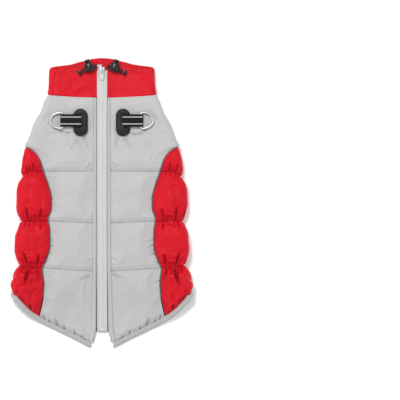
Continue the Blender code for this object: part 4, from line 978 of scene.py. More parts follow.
def crumple_group():
    """Small soft creases of thin nylon. Vector is in mm."""
    tree, given, out = new_group(
        "Crumple", [("Vector", "Vector", (0, 0, 0)), ("Size", "Float", 12.0)], [("Height", "Float"), ("Shade", "Float")]
    )
    broad = noise(tree, given, {"Detail": 3.0, "Roughness": 0.55, "Distortion": 0.7})
    ridges = noise(tree, given, {"Detail": 2.0, "Distortion": 1.4}, noise_type="RIDGED_MULTIFRACTAL")
    tree.links.new(maths(tree, "MULTIPLY_ADD", ridges, 0.35, broad), out.inputs["Height"])
    tree.links.new(broad, out.inputs["Shade"])
    return tree


def drift_group():
    """A colour whose tone drifts a little over the surface."""
    tree, given, out = new_group(
        "Tone Drift",
        [("Vector", "Vector", (0, 0, 0)), ("Colour", "Color", (0.5, 0.5, 0.5, 1)), ("Strength", "Float", 0.1),
         ("Size", "Float", 40.0)],
        [("Colour", "Color")],
    )
    centred = maths(tree, "SUBTRACT", noise(tree, given, {"Detail": 2.0}), 0.5)
    value = maths(tree, "MULTIPLY_ADD", centred, given.outputs["Strength"], 1.0)
    hsv = node(tree, "HueSaturation", {"Color": given.outputs["Colour"], "Value": value})
    tree.links.new(hsv.outputs["Color"], out.inputs["Colour"])
    return tree


def scuff_group():
    """Fine scratches and patches of wear, for roughness and bump. Vector is in mm."""
    tree, given, out = new_group(
        "Scuffs", [("Vector", "Vector", (0, 0, 0)), ("Size", "Float", 3.0)], [("Wear", "Float"), ("Height", "Float")]
    )
    stretch = node(tree, "Mapping", {"Vector": given.outputs["Vector"], "Scale": (1.0, 7.0, 1.0)})
    tree.links.new(noise(tree, given, {"Detail": 3.0}), out.inputs["Wear"])
    tree.links.new(noise(tree, given, {"Detail": 4.0, "Vector": stretch.outputs[0]}), out.inputs["Height"])
    return tree


GROUP_MAKERS = {"Weave": weave_group, "Crumple": crumple_group, "Tone Drift": drift_group, "Scuffs": scuff_group}


def use_group(tree, name, **inputs):
    made = tree.nodes.new("ShaderNodeGroup")
    made.node_tree = bpy.data.node_groups.get(name) or GROUP_MAKERS[name]()
    return feed(tree, made, {label.replace("_", " "): value for label, value in inputs.items()})


def in_mm(tree, on_cut):
    """Coordinates in mm: the cloth's own cut, or the place on the object."""
    if on_cut:
        source = node(tree, "UVMap", uv_map="Cut").outputs["UV"]
    else:
        source = node(tree, "TexCoord").outputs["Object"]
    return node(tree, "Mapping", {"Vector": source, "Scale": (1 / MM, 1 / MM, 1 / MM)}).outputs["Vector"]


def spread_value(tree, source, low, high):
    made = node(tree, "MapRange", {"Value": source, "From Min": 0.25, "From Max": 0.75, "To Min": low, "To Max": high})
    return made.outputs["Result"]


def shaded(tree, colour, mask, low, high):
    """Painted shade and highlight: a colour made darker or brighter, from low where the mask is 0 to high where it is
    1.
    """
    value = node(tree, "MapRange", {"Value": mask, "To Min": low, "To Max": high}).outputs["Result"]
    return node(tree, "HueSaturation", {"Color": colour, "Value": value}).outputs["Color"]


def stack_bumps(tree, layers):
    """Bumps laid on each other: (height, distance in metres, strength)."""
    normal = None
    for height, distance, strength in layers:
        inputs = {"Height": height, "Distance": distance, "Strength": strength}
        if normal is not None:
            inputs["Normal"] = normal
        normal = node(tree, "Bump", inputs).outputs["Normal"]
    return normal


FINISHES = {}  # the finishes made so far


def start_material(name):
    material = FINISHES[name] = bpy.data.materials.new(name)
    material.use_nodes = True
    return material, material.node_tree, material.node_tree.nodes["Principled BSDF"]


def cloth(name, colour, rough, threads, weave, drift, crumple=0.0, crumple_size=12.0, sheen=0.0,
          sheen_tint=(1, 1, 1, 1), on_cut=True, specular=0.4, stripes=None, ribs=None, fold_shade=0.0):
    """A cloth finish. rough is (low, high); threads is threads a mm; weave and crumple are bump heights in mm; stripes
    is (distance from the middle, half width, colour); ribs is (direction, ribs a mm, height), and they paint shade into
    the colour between the ribs and a highlight onto them; fold_shade is how much painted shade darkens the colour at
    the bottom of a fold."""
    if name in FINISHES:
        return FINISHES[name]
    material, tree, shader = start_material(name)
    place = in_mm(tree, on_cut)
    tone = use_group(tree, "Tone Drift", Vector=place, Colour=(*colour, 1.0), Strength=drift, Size=35.0)
    base, bumps = tone.outputs["Colour"], []
    # painted shade: the colour darkens where the Fold attribute marks the bottom of a fold, in place of the shade there
    if fold_shade:
        fold = node(tree, "Attribute", attribute_name="Fold").outputs["Fac"]
        base = shaded(tree, base, fold, 1.0, 1 - fold_shade)
    if stripes:
        offset, half, stripe_colour = stripes
        u = node(tree, "SeparateXYZ", {0: place}).outputs["X"]
        away = maths(tree, "ABSOLUTE", maths(tree, "SUBTRACT", maths(tree, "ABSOLUTE", u), offset))
        mix = node(tree, "Mix", {"Factor": maths(tree, "LESS_THAN", away, half)}, data_type="RGBA")
        tree.links.new(base, mix.inputs[6])
        mix.inputs[7].default_value = (*stripe_colour, 1.0)
        base = mix.outputs[2]
    wrinkles = use_group(tree, "Crumple", Vector=place, Size=crumple_size)
    if crumple:
        bumps.append((wrinkles.outputs["Height"], crumple * MM, 1.0))
    if ribs:
        direction, number, height = ribs
        wave = node(tree, "TexWave", {"Vector": place, "Scale": number / 2, "Distortion": 0.3},
                    bands_direction=direction).outputs["Fac"]
        bumps.append((wave, height * MM, 1.0))
        # painted shade between the ribs and painted highlight on their crests, following the ribs' bump
        base = shaded(tree, base, wave, 0.82, 1.06)
    woven = use_group(tree, "Weave", Vector=place, Threads_a_mm=threads)
    bumps.append((woven.outputs["Height"], weave * MM, 0.6))
    tree.links.new(base, shader.inputs["Base Color"])
    tree.links.new(spread_value(tree, wrinkles.outputs["Shade"], *rough), shader.inputs["Roughness"])
    tree.links.new(stack_bumps(tree, bumps), shader.inputs["Normal"])
    shader.inputs["Sheen Weight"].default_value = sheen
    shader.inputs["Sheen Roughness"].default_value = 0.4
    shader.inputs["Sheen Tint"].default_value = sheen_tint
    shader.inputs["Specular IOR Level"].default_value = specular
    return material


def hard(name, colour, rough, bump, metal=0.0, size=3.0, drift=0.08, specular=0.5):
    """A finish of moulded plastic, rubber or metal. bump is the height of its scuffs in mm, and size their size."""
    if name in FINISHES:
        return FINISHES[name]
    material, tree, shader = start_material(name)
    place = in_mm(tree, False)
    tone = use_group(tree, "Tone Drift", Vector=place, Colour=(*colour, 1.0), Strength=drift, Size=9.0)
    wear = use_group(tree, "Scuffs", Vector=place, Size=size)
    tree.links.new(tone.outputs["Colour"], shader.inputs["Base Color"])
    tree.links.new(spread_value(tree, wear.outputs["Wear"], *rough), shader.inputs["Roughness"])
    tree.links.new(stack_bumps(tree, [(wear.outputs["Height"], bump * MM, 1.0)]), shader.inputs["Normal"])
    shader.inputs["Metallic"].default_value = metal
    shader.inputs["Specular IOR Level"].default_value = specular
    return material


def colours():
    return bpy.context.scene.jacket_colours


def sizes():
    return bpy.context.scene.jacket_sizes


# the red and grey nylons darken with painted shade at the bottoms of folds, by fold_shade
def red_shell():
    return cloth("red nylon", colours().red, (0.50, 0.62), crumple=0.16, crumple_size=12.0, threads=3.2, weave=0.03,
                 drift=0.10, sheen=0.14, sheen_tint=(1.0, 0.3, 0.48, 1), specular=0.17, fold_shade=0.62)


def grey_shell():
    return cloth("grey nylon", colours().grey, (0.56, 0.68), crumple=0.12, crumple_size=14.0, threads=3.2, weave=0.03,
                 drift=0.05, sheen=0.08, specular=0.32, fold_shade=0.6)


def edge_tape():
    return cloth("folded tape", colours().tape, (0.55, 0.68), crumple=0.15, crumple_size=7.0, threads=2.0, weave=0.05,
                 drift=0.08, ribs=("X", 1.1, 0.05))


def black_lining():
    return cloth("shiny lining", colours().lining, (0.26, 0.38), crumple=1.4, crumple_size=9.0, threads=3.0, weave=0.02,
                 drift=0.25, sheen=0.05, specular=0.6)


def black_webbing():
    return cloth("striped webbing", colours().webbing, (0.55, 0.7), threads=1.6, weave=0.08, drift=0.15,
                 stripes=(5.5, 0.75, colours().stripe), ribs=("Y", 1.2, 0.10), specular=0.2)


def pale_ribbon():
    return cloth("ribbon", colours().ribbon, (0.5, 0.62), threads=2.0, weave=0.05, drift=0.06, ribs=("Y", 1.6, 0.06))


def zip_tape_cloth():
    return cloth("zip tape", colours().zip, (0.55, 0.68), threads=1.8, weave=0.06, drift=0.06, ribs=("X", 1.3, 0.05))


def dark_piping():
    return cloth("piping", colours().piping, (0.45, 0.58), threads=2.0, weave=0.05, drift=0.2, on_cut=False)


def elastic():
    return cloth("elastic", colours().webbing, (0.55, 0.7), threads=2.4, weave=0.12, drift=0.2, on_cut=False)


def thread(kind):
    c = colours()
    tone = {"red": c.red_thread, "grey": c.grey_thread, "tape": c.tape_thread, "black": c.webbing}[kind]
    return cloth(f"{kind} thread", tone, (0.45, 0.6), threads=6.0, weave=0.03, drift=0.1, on_cut=False)


def black_plastic():
    return hard("moulded plastic", colours().plastic, (0.26, 0.40), bump=0.015, specular=0.4)


def black_rubber():
    return hard("moulded patch", colours().rubber, (0.36, 0.52), bump=0.03, size=1.5, specular=0.28)


def zip_plastic():
    return hard("zip teeth", colours().zip, (0.35, 0.5), bump=0.01, drift=0.05)


def zip_metal():
    return hard("zip metal", colours().zip_metal, (0.34, 0.48), metal=0.15, bump=0.01)


def steel():
    return hard("ring steel", colours().steel, (0.34, 0.48), metal=1.0, bump=0.004, size=2.0)


# ---------------------------------------------------------------- cloth pieces
SIDES = Padding(12.0, 12.0, 36.0, 11.0, 24.0, 1.0, QUILT_LINES, ())
BELLY = Padding(12.2, 12.0, 12.0, 16.0, 23.0, 1.0, QUILT_LINES, ())
GREY = Padding(6.4, 16.0, 14.0, 12.0, 16.0, 0.45, QUILT_LINES, BACK_CREASES)
CHEST = Padding(6.8, 14.0, 12.0, 12.0, 1.0, 0.0, (), CHEST_CREASES)
GATHERED, RED_DEEP, GREY_DEEP = 0.85, 8.0, 3.2  # share of a wall that gathers press in, and how deep a fold is where its painted shade is darkest


def collar_seam_level(girth):
    return collar_seam_y(girth) - SEAM_GAP


def side_folds(girth, y, seed):
    lines = [quilt_y(line, girth, y) for line in QUILT_LINES] + [hem_seam_y(girth)]
    chance = np.random.default_rng(seed)
    return gathers(girth, y, lines, 80.0, 225.0, (18, 20, 20, 8), chance, BACK_FOLDS) * sizes().gather_depth


def quilt_grooves(girth, y, lines, deep, second=0.0):
    """Narrow grooves along quilt lines, and fainter ones 4 mm above them."""
    away = [y - quilt_y(line, girth, y) for line in lines]
    return sum(deep * np.exp(-((d / 1.1) ** 2)) + second * np.exp(-((d - 4.0) ** 2)) for d in away)


def side_detail(side):
    def depth(girth, y, height):
        x = half_girth(y) - girth
        soft = crease_depth(SIDE_LINES, x, y) * (girth > flat_half(y) + 0.5 * FOLD_TURN)
        soft = soft + quilt_grooves(girth, y, QUILT_LINES, 1.0)
        return GATHERED * side_folds(girth, y, 11 + side) * (height - LEAST_WALL) + soft

    return depth


def build_side_panels():
    levels = [
        (level(SIDE_TOP_Y - 0.8), 26), (quilt_level(QUILT_LINES[0]), 44), (quilt_level(QUILT_LINES[1]), 44),
        (quilt_level(QUILT_LINES[2], hem_seam_y), 28), (hem_seam_y, 0),
    ]
    cut, panels = lay_out(side_inner, side_outer, levels, 76), []
    for side, hand in HANDS:
        panels.append(panel(
            f"side_cloth_{hand}", f"side_panel_{hand}", cut, SIDES, side, cut.pinned_rows[1:4],
            0.5 * side_folds(cut.girth, cut.y, 11 + side), 0.8, sizes().red_growth, side_detail(side), RED_DEEP,
        ))
    add_panels(panels, sizes().steps, 4.5, red_shell(), "red_shell", "red")


def belly_folds(girth, y):
    chance = np.random.default_rng(5)
    lines = [quilt_y(line, girth, y) for line in QUILT_LINES[:2]] + [hem_seam_y(girth)]
    halves = [gathers(girth, y, lines, 0.0, 78.0, (42, 48, 12), chance) for _ in HANDS]
    return np.where(girth < 0, *halves) * sizes().gather_depth


def belly_detail(girth, y, height):
    return GATHERED * belly_folds(girth, y) * (height - LEAST_WALL) + quilt_grooves(girth, y, QUILT_LINES, 1.0)


def build_belly_panel():
    levels = [(belly_top_y, 14), (quilt_level(QUILT_LINES[0]), 44), (quilt_level(QUILT_LINES[1]), 26), (hem_seam_y, 0)]
    cut = lay_out(lambda y: -belly_seam(y) + SEAM_GAP, lambda y: belly_seam(y) - SEAM_GAP, levels, 88)
    made = panel(
        "belly_cloth", "belly_panel", cut, BELLY, 1, cut.pinned_rows[1:3], 0.5 * belly_folds(cut.girth, cut.y), 0.8,
        sizes().red_growth, belly_detail, RED_DEEP,
    )
    add_panels([made], sizes().steps, 5.0, red_shell(), "red_shell", "red")


def build_chest_panel():
    levels = [
        (collar_seam_level, 24), (level(ARM_TOP), 44), (level(VEE_TOP_Y), 16), (level(VEE_BOTTOM[1] + SEAM_GAP), 0),
    ]
    cut = lay_out(lambda y: -chest_side(y), chest_side, levels, 72)
    made = panel(
        "chest_cloth", "chest_panel", cut, CHEST, 1, [], np.zeros_like(cut.y), 0.6, 0.02,
        lambda girth, y, height: crease_depth(CHEST_LINES, girth, y), 3.0,
    )
    add_panels([made], sizes().steps, 3.0, red_shell(), "red_shell", "red")


def back_detail(side):
    """Puckers along the quilt lines and the hem of one grey panel."""

    def depth(girth, y, height):
        x = half_girth(y) - girth
        lines = [quilt_y(line, girth, y) for line in QUILT_LINES]
        small = gathers(girth, y, lines, 130.0, 290.0, (2, 2, 2), np.random.default_rng(71 + side))
        grooves = quilt_grooves(girth, y, QUILT_LINES, 0.8, 0.5)
        return 0.12 * small * (height - SEAM_LIFT) + crease_depth(BACK_LINES, side * x, y) + grooves

    return depth


PORT_X, PORT_Y, PORT_HALF_WIDTH, PORT_HALF_HEIGHT = 55.0, 130.0, 32.0, 22.0  # what a port covers with its ring


def under_hardware(p):
    """How far the grey back may rise in the simulation: hardly under the leash ports and their rings."""
    x, y = np.abs(p.start[..., 0]), p.start[..., 1]
    past_x = np.maximum(np.abs(x - PORT_X) - PORT_HALF_WIDTH, 0)
    past_y = np.maximum(np.abs(y - PORT_Y) - PORT_HALF_HEIGHT, 0)
    return 0.1 + 1.6 * ease(np.hypot(past_x, past_y) / 14.0)


def evened(edge, reach):
    """An edge with its corners taken off over a reach in mm."""
    stations = np.arange(-300.0, 260.0, 1.0)
    weights = np.exp(-0.5 * (np.arange(-40, 41) / reach) ** 2)
    values = np.convolve(np.pad(edge(stations), 40, mode="edge"), weights / weights.sum(), mode="valid")
    return lambda y: np.interp(y, stations, values)


def build_back_panels():
    levels = [
        (collar_seam_level, 22), (level(ARM_TOP), 24), (level(SIDE_TOP_Y + 0.6), 2), (level(SIDE_TOP_Y - 0.8), 20),
        (quilt_level(QUILT_LINES[0]), 40), (quilt_level(QUILT_LINES[1]), 40), (quilt_level(QUILT_LINES[2]), 52),
        (hem_seam_y, 0),
    ]
    cut, panels = lay_out(grey_outer_side, zip_side, levels, 64, evened(grey_outer_side, 11.0)), []
    for side, hand in HANDS:
        panels.append(panel(
            f"back_cloth_{hand}", f"back_panel_{hand}", cut, GREY, side, cut.pinned_rows[4:7],
            np.zeros_like(cut.y), 0.3, sizes().grey_growth, back_detail(side), GREY_DEEP,
        ))
    add_panels(panels, sizes().steps, 2.6, grey_shell(), "grey_shell", "grey", under_hardware)


def collar_end(y):
    return half_girth(y) - 8.1


def build_collar():
    levels = [(collar_top_y, 24), (lambda girth: collar_seam_y(girth) - 0.5, 0)]
    cut = lay_out(lambda y: -collar_end(y), collar_end, levels, 190)
    g, y = cut.girth, cut.y
    from_seam = y - collar_seam_y(g)
    edges = (from_seam, collar_top_y(g) - y, collar_end(y) - np.abs(g))
    puff = np.prod([rounded(d, 5.0) for d in edges], axis=0)
    chance, soft = np.random.default_rng(23), np.zeros_like(y)
    for _ in range(34):
        at, reach = chance.uniform(-155, 155), chance.uniform(8, 30)
        soft += gather(g, from_seam, at, reach, chance.uniform(-0.3, 0.3), chance.uniform(0.3, 1.0), 2.6)
    # one crease near each end at the zip
    for at, deep in ((half_girth(200.0) - 11.5, 1.6), (-half_girth(200.0) + 15.0, 1.0)):
        soft += deep * np.exp(-(((g - at) / 1.8) ** 2)) * ease((y - 186) / 10)
    soft *= np.where(np.abs(g) > 95, 0.3, 1.0) * puff**0.5
    lift = 2.6 + 0.8 * (1 - ease(from_seam / 6.0)) + 1.6 * puff - soft
    lift = np.maximum(np.minimum(lift, ring_room(g, y)), 1.2)
    inner = skin(g, y, 0.0)
    ready = Panel("collar", "collar", cut, 1, [], skin(g, y, lift), lift, inner, 0.5, 0.02, None, 0.0)
    outer = finer(settle([ready], sizes().steps, 1.4)[0])
    obj = add_wall("collar_cloth", outer, finer(inner), finer(g), finer(y), True, red_shell(), "collar", "red_shell",
                   fine=True)
    out = outward(outer, 1)
    for column in (5, -6):
        sew("red", outer[4:, column], out[4:, column])
    sew("red", outer[5], out[5])


def strip(name, edges, stations, across, low, high, profile, material, node, slot, sewn, thread_name):
    """A strip over the back between two x at each station. profile gives the share of its rise at each column, and
    sewn lists the columns with a seam."""
    t = np.linspace(0, 1, across + 1)[None, :]
    y = np.asarray(stations)[:, None] + 0 * t
    first, last = edges(y)
    x = first + (last - first) * t
    base = back_z(np.abs(x), y)
    outer = np.stack((x, y, base + low + (high - low) * profile(t) * np.ones_like(y)), axis=-1)
    inner = np.stack((x, y, np.maximum(base + low, 0.2)), axis=-1)
    flip = bool(np.mean(last - first) < 0)
    add_wall(name, outer, inner, x - x[:, :1], y, flip, material, node, slot)
    out = outward(outer, 1 if flip else -1)
    for column in sewn:
        sew(thread_name, outer[:, column], out[:, column])


def soft_strip(t):
    return 0.72 + 0.28 * np.sqrt(np.clip(1 - (2 * t - 1) ** 2, 0, 1))


def flat_strip(t):
    return 0.8 + 0.2 * np.clip(8 * np.minimum(t, 1 - t), 0, 1)


def build_plackets():
    for side, hand in HANDS:
        strip(
            f"zip_cover_{hand}",
            lambda y, side=side: (side * (placket_edge_x(y) + 0.1), side * (placket_seam_x(y) + 0.1)),
            np.append(ramp(169.0, -213.0, 220), (-217.0, -221.4)), 10, 0.0, 5.0, soft_strip, grey_shell(),
            f"placket_{hand}", "grey_shell", (2,), "grey",
        )


# the zip; LOW is a height over the back's inner face
TAPE_HALF, TAPE_LOW, TAPE_THICK = 8.2, 1.6, 1.0
CHAIN_HALF, CHAIN_LOW, CHAIN_THICK = 2.9, 1.2, 2.2
TOOTH_PAST = 0.9  # how far a tooth's head reaches past the zip's middle
ZIP_TOP, ZIP_BOTTOM_Y = {"left": 222.0, "right": 213.0}, -205.5
SLIDER_Y, SLIDER_LENGTH, SLIDER_WIDTH, SLIDER_HEIGHT = 213.0, 11.0, 8.6, 3.2
BAIL_RADIUS, BAIL_WIRE = 4.2, 1.5
TAB_LENGTH, TAB_WIDTH, TAB_THICK, TAB_TILT = 16.0, 6.0, 1.2, math.radians(4)


def build_zip():
    for side, hand in HANDS:
        strip(
            f"zip_tape_cloth_{hand}", lambda y, side=side: (side * 0.2 + 0 * y, side * TAPE_HALF + 0 * y),
            ramp(ZIP_TOP[hand], ZIP_BOTTOM_Y, 200), 8, TAPE_LOW, TAPE_LOW + TAPE_THICK, flat_strip, zip_tape_cloth(),
            f"zip_tape_{hand}", "zip_light_grey", (6,), "tape",
        )
    pitch = sizes().tooth_pitch / MM
    top, bottom = SLIDER_Y - SLIDER_LENGTH / 2 - SEAM_GAP - 1.0, ZIP_BOTTOM_Y + 6.3 + 0.9
    frames = []
    for number, y in enumerate(np.arange(top, bottom, -pitch / 2)):
        side = 1 if number % 2 else -1
        z = back_height(0.0, y)
        slope = (back_height(0.0, y + 2) - back_height(0.0, y - 2)) / 4
        axes = Matrix.Rotation(math.atan(slope), 3, "X") @ Matrix.Scale(side, 3, (1, 0, 0))
        frames.append((np.array(axes), np.array((0.0, y, z + CHAIN_LOW + CHAIN_THICK / 2 + 0.1))))
    bm = bmesh.new()
    bmesh.ops.create_cube(bm, size=1.0)
    bmesh.ops.scale(bm, vec=(CHAIN_HALF + TOOTH_PAST, pitch * 0.5 - 0.15, CHAIN_THICK), verts=bm.verts[:])
    move(bm, ((CHAIN_HALF - TOOTH_PAST) / 2, 0, 0))
    bmesh.ops.scale(bm, vec=(1, 1.12, 1), verts=[v for v in bm.verts if v.co.x < 0])
    round_edges(bm, 0.32, 1, bm.edges[:])
    chain = copies_mesh("zip_teeth", bm, frames)
    add_piece("zip_teeth", chain, zip_plastic(), "zip_chain", slot="zip_light_grey")
    y = ZIP_BOTTOM_Y + 3.0
    z = back_height(0.0, y)
    outline = [(-2.9, -2.6), (2.9, -2.6), (2.9, 1.4), (1.6, 2.9), (-1.6, 2.9), (-2.9, 1.4)]
    bm = plate(outline, CHAIN_THICK + 0.8, round_by=0.5)
    move(bm, (0, y, z + CHAIN_LOW + 1.5))
    add_piece("zip_box", done(bm, "zip_box"), zip_plastic(), "zip_end_stop", slot="zip_light_grey")
    build_slider()


def build_slider():
    base_z = back_height(0.0, SLIDER_Y) + TAPE_LOW + TAPE_THICK + SEAM_GAP
    half_length, half_width = SLIDER_LENGTH / 2, SLIDER_WIDTH / 2
    outline = [
        (-half_width, half_length * 0.6), (-half_width * 0.86, half_length * 0.9), (-half_width * 0.5, half_length),
        (-0.8, half_length * 0.72), (0.8, half_length * 0.72), (half_width * 0.5, half_length),
        (half_width * 0.86, half_length * 0.9), (half_width, half_length * 0.6), (half_width * 0.66, -half_length),
        (-half_width * 0.66, -half_length),
    ]
    wings = []
    for height, thick in ((0.55, 1.1), (SLIDER_HEIGHT - 0.55, 1.1)):
        wing = plate(outline, thick, round_by=0.35)
        move(wing, (0, SLIDER_Y, base_z + height))
        wings.append(wing)
    post = plate([(-1.4, 0.5), (1.4, 0.5), (1.2, 4.2), (-1.2, 4.2)], SLIDER_HEIGHT - 1.0, round_by=0.0)
    move(post, (0, SLIDER_Y, base_z + SLIDER_HEIGHT / 2))
    pivot_z = base_z + SLIDER_HEIGHT + 1.2
    bow = [(0.0, SLIDER_Y + BAIL_RADIUS - 0.75, pivot_z - 2.2)]
    middle = BAIL_RADIUS - BAIL_WIRE / 2
    for t in np.linspace(0, math.pi, 14):
        bow.append((0.0, SLIDER_Y + middle * math.cos(t), pivot_z - 0.1 + 0.55 * middle * math.sin(t)))
    bow.append((0.0, SLIDER_Y - BAIL_RADIUS + 0.75, pivot_z - 2.2))
    bail = bmesh_of(rod_mesh("bail", even(np.array(bow), 0.7), BAIL_WIRE))
    mesh = done(joined(*wings, post, bail), "slider")
    add_piece("zip_slider_body", mesh, zip_metal(), "zip_slider", slot="zip_metal")
    half = TAB_WIDTH / 2
    outline = [(-half, 0.15), (-half + 0.5, 0.55), (half - 0.5, 0.55), (half, 0.15), (half, -7.0)]
    outline += [(half * 1.15, 2.6 - TAB_LENGTH), (half * 0.95, 0.7 - TAB_LENGTH), (half * 0.5, -TAB_LENGTH)]
    outline += [(-x, y) for x, y in outline[:3:-1]]
    window = [(-1.3, -0.6), (1.3, -0.6), (1.3, -5.8), (-1.3, -5.8)]
    tab = plate(outline, TAB_THICK, hole=window, round_by=0.3)
    grip = plate([(-1.9, -8.2), (1.9, -8.2), (2.2, -14.2), (-2.2, -14.2)], TAB_THICK + 0.5, round_by=0.25)
    tab = joined(tab, grip)
    transform(tab, Matrix.Translation((0, SLIDER_Y, pivot_z)) @ Matrix.Rotation(TAB_TILT, 4, "X"))
    add_piece("zip_tab", done(tab, "zip_tab"), zip_metal(), "zip_pull_tab", "pull_tab", slot="zip_metal")


FACING_HALF = 14.0


def build_facing():
    t = np.linspace(-1, 1, 15)[None, :]
    y = ramp(160.0, -206.0, 180)[:, None] + 0 * t
    x = FACING_HALF * t + 0 * y
    base = back_z(np.abs(x), y)
    ripple = 0.12 * np.sin(y * 0.31 + 1.3 * np.sin(y * 0.07)) * (1 - t**2)
    outer = np.stack((x, y, np.maximum(base - 1.95 + ripple, 0.25)), axis=-1)
    inner = np.stack((x, y, base - 1.15 + 0 * x), axis=-1)
    obj = add_wall("zip_backing", outer, inner, x, y, True, black_lining(), "zip_facing", "black_lining")
    out = outward(outer, 1)
    for column in (1, 13):
        sew("black", outer[:, column], out[:, column])
    cross_seam = int(np.argmin(np.abs(y[:, 0] + 140.0)))
    sew("black", outer[cross_seam], out[cross_seam])


def lining_outer_side(y):
    return flat_half(y) + 0.55 * FOLD_TURN - 0.05 * FOLD_TURN * ease((-90.0 - y) / 30.0)


def lining_hem_y(girth):
    """Down to the hem's seam, short of it at the zip and under the tape's edge at the sides."""
    x = half_girth(hem_y(girth)) - np.abs(girth)
    return hem_seam_y(girth) + 0.2 + 3.0 * ease((24.0 - x) / 8.0) - 2.0 * ease((x - 82.0) / 12.0)


def build_lining():
    for side, hand in HANDS:
        levels = [(level(160.0), 60), (level(-90.0), 60), (lining_hem_y, 0)]
        cut = lay_out(lining_outer_side, lambda y: half_girth(y) - FACING_HALF + 0.6, levels, 64)
        g, y = cut.girth, cut.y
        chance = np.random.default_rng(31 + side)
        ripple = np.zeros_like(y)
        for _ in range(26):
            at, start = chance.uniform(g.min(), g.max()), chance.uniform(-215, -95)
            away = (g - at - chance.uniform(-0.6, 0.6) * (y - start)) / chance.uniform(2.0, 4.0)
            ripple += 0.5 * np.exp(-(away**2) - ((y - start) / chance.uniform(10, 26)) ** 2)
        outer = skin(side * g, y, -2.0 + np.minimum(ripple, 0.7))
        inner = skin(side * g, y, -1.1)
        obj = add_wall(f"lining_cloth_{hand}", inner, outer, side * g, y, side > 0, black_lining(),
                       f"back_lining_{hand}", "black_lining")


def build_hem_tape():
    end = half_girth(-230.0) - 18.0
    girth = np.linspace(-end, end, 420)[:, None]
    t = np.linspace(0, 1, 9)[None, :]
    rise = np.array([0.30, 0.78, 0.96, 1.0, 1.0, 1.0, 1.0, 0.98, 0.86])[None, :]
    chance = np.random.default_rng(41)
    waves = sum(
        chance.uniform(0.05, 0.16) * np.sin(girth / chance.uniform(2.5, 8.0) + chance.uniform(0, 6)) for _ in range(5)
    )
    under = np.where(np.abs(girth) > flat_half(-120.0) + FOLD_TURN, -1.6, -0.4)  # inner face on the back and belly
    y = hem_y(girth) + (0.1 + BINDING * t) * hem_stretch(girth)
    g = girth + 0 * t
    lift = under + (3.9 + waves * (0.4 + t) - under) * rise
    outer, inner = skin(g, y, lift), skin(g, y, under + 0 * t)
    add_wall("hem_tape", outer, inner, BINDING * t + 0 * g, g, True, edge_tape(), "hem_binding", "edge_tape")
    out = outward(outer, 1)
    sew("tape", outer[:, 6], out[:, 6])


def ring_mesh(name, steps, section):
    """A closed ring with a number of section points, and the step and section point of each vertex."""
    bm = bmesh.new()
    upright = Matrix.Translation((3, 0, 0)) @ Matrix.Rotation(math.pi / 2, 4, "X")
    bmesh.ops.create_circle(bm, segments=section, radius=1.0, matrix=upright)
    spin_round(bm, bm.verts[:] + bm.edges[:], steps)
    mesh = mesh_from(bm, name)
    place = coordinates(mesh)
    step = np.rint(np.arctan2(place[:, 1], place[:, 0]) / (2 * math.pi) * steps).astype(int) % steps
    radius = np.hypot(place[:, 0], place[:, 1]) - 3
    point = np.rint(np.arctan2(place[:, 2], radius) / (2 * math.pi) * section).astype(int) % section
    return mesh, step, point


# section of the armholes' folded tape: distance into the armhole's edge, and lift
TAPE_SECTION = ((0.7, 0.0), (0.5, 1.6), (0.8, 3.0), (1.7, 3.9), (3.0, 4.3), (4.8, 4.3), (6.4, 4.1), (7.5, 3.4),
                (8.1, 2.0), (8.0, 0.6), (5.6, 0.2), (3.0, 0.0))


def build_armhole_tapes():
    steps, section = 168, len(TAPE_SECTION)
    for side, hand in HANDS:
        mesh, step, point = ring_mesh("armhole_tape", steps, section)
        chance = np.random.default_rng(47 + side)
        turn = 2 * math.pi * np.arange(steps) / steps
        waves = sum(chance.uniform(0.04, 0.14) * np.sin(n * turn + chance.uniform(0, 6)) for n in (23, 31, 47, 60))
        inset, lift = np.array(TAPE_SECTION)[point].T
        girth, y = armhole_point(turn[step], inset)
        shape_mesh(mesh, skin(side * girth, y, lift + waves[step] * (lift > 2)))
        fix_normals(mesh)
        set_uv(mesh, np.stack((inset, turn[step] * ARMHOLE_MEAN), axis=-1))
        add_piece(f"armhole_tape_{hand}", mesh, edge_tape(), f"armhole_binding_{hand}", slot="edge_tape")
        girth, y = armhole_point(turn, 6.9)
        ring = skin(side * girth, y, 3.95 + waves)
        centre = skin(side * girth, y, 3.0)
        out = (ring - centre) / np.linalg.norm(ring - centre, axis=-1, keepdims=True)
        sew("tape", np.vstack((ring, ring[:1])), np.vstack((out, out[:1])))


def build_piping():
    for side, hand in HANDS:
        y = np.linspace(SIDE_TOP_Y - 0.8, -150.0, 400)
        g = side_outer(y) + piping_gap(y)
        keep = y > hem_seam_y(g) - 4.0
        line = skin(side * g[keep], y[keep], 3.0)
        mesh = rod_mesh("piping", even(line, 1.2), 2.1, fine=3)
        add_piece(f"piping_cord_{hand}", mesh, dark_piping(), f"piping_{hand}", slot="dark_piping")


# ---------------------------------------------------------------- hardware
PATCH_X, PATCH_Y, PATCH_HALF_WIDTH, PATCH_HALF_HEIGHT, PATCH_THICK = 34.0, 129.0, 11.6, 22.0, 2.2
WEB_WIDTH, WEB_Y = 20.0, 132.0
RING_WIRE, RING_BAR_X, RING_DEPTH, RING_HALF_HEIGHT = 3.2, 63.0, 19.0, 12.7
CHEST_RING_WIRE, CHEST_RING_DEPTH, CHEST_RING_HALF_WIDTH = 2.4, 12.6, 7.6
CHEST_RING_Y, CHEST_RING_Z = 184.3, 2.4
RIBBON_WIDTH, RIBBON_THICK = 11.4, 0.7
LOCK_X, LOCK_Y, LOCK_LEAN = 21.0, 219.5, math.radians(18)
LOCK_HALF_WIDTH, LOCK_HALF_THICK = 7.4, 4.8
CORD_DIAMETER, CORD_SPACING, CORD_PLACE = 2.4, 4.0, -4.4
CORD_END = (35.7, 209.0)
GREY_LIFT, COLLAR_LIFT = 7.0, 4.2  # thickness of the solids' back and collar


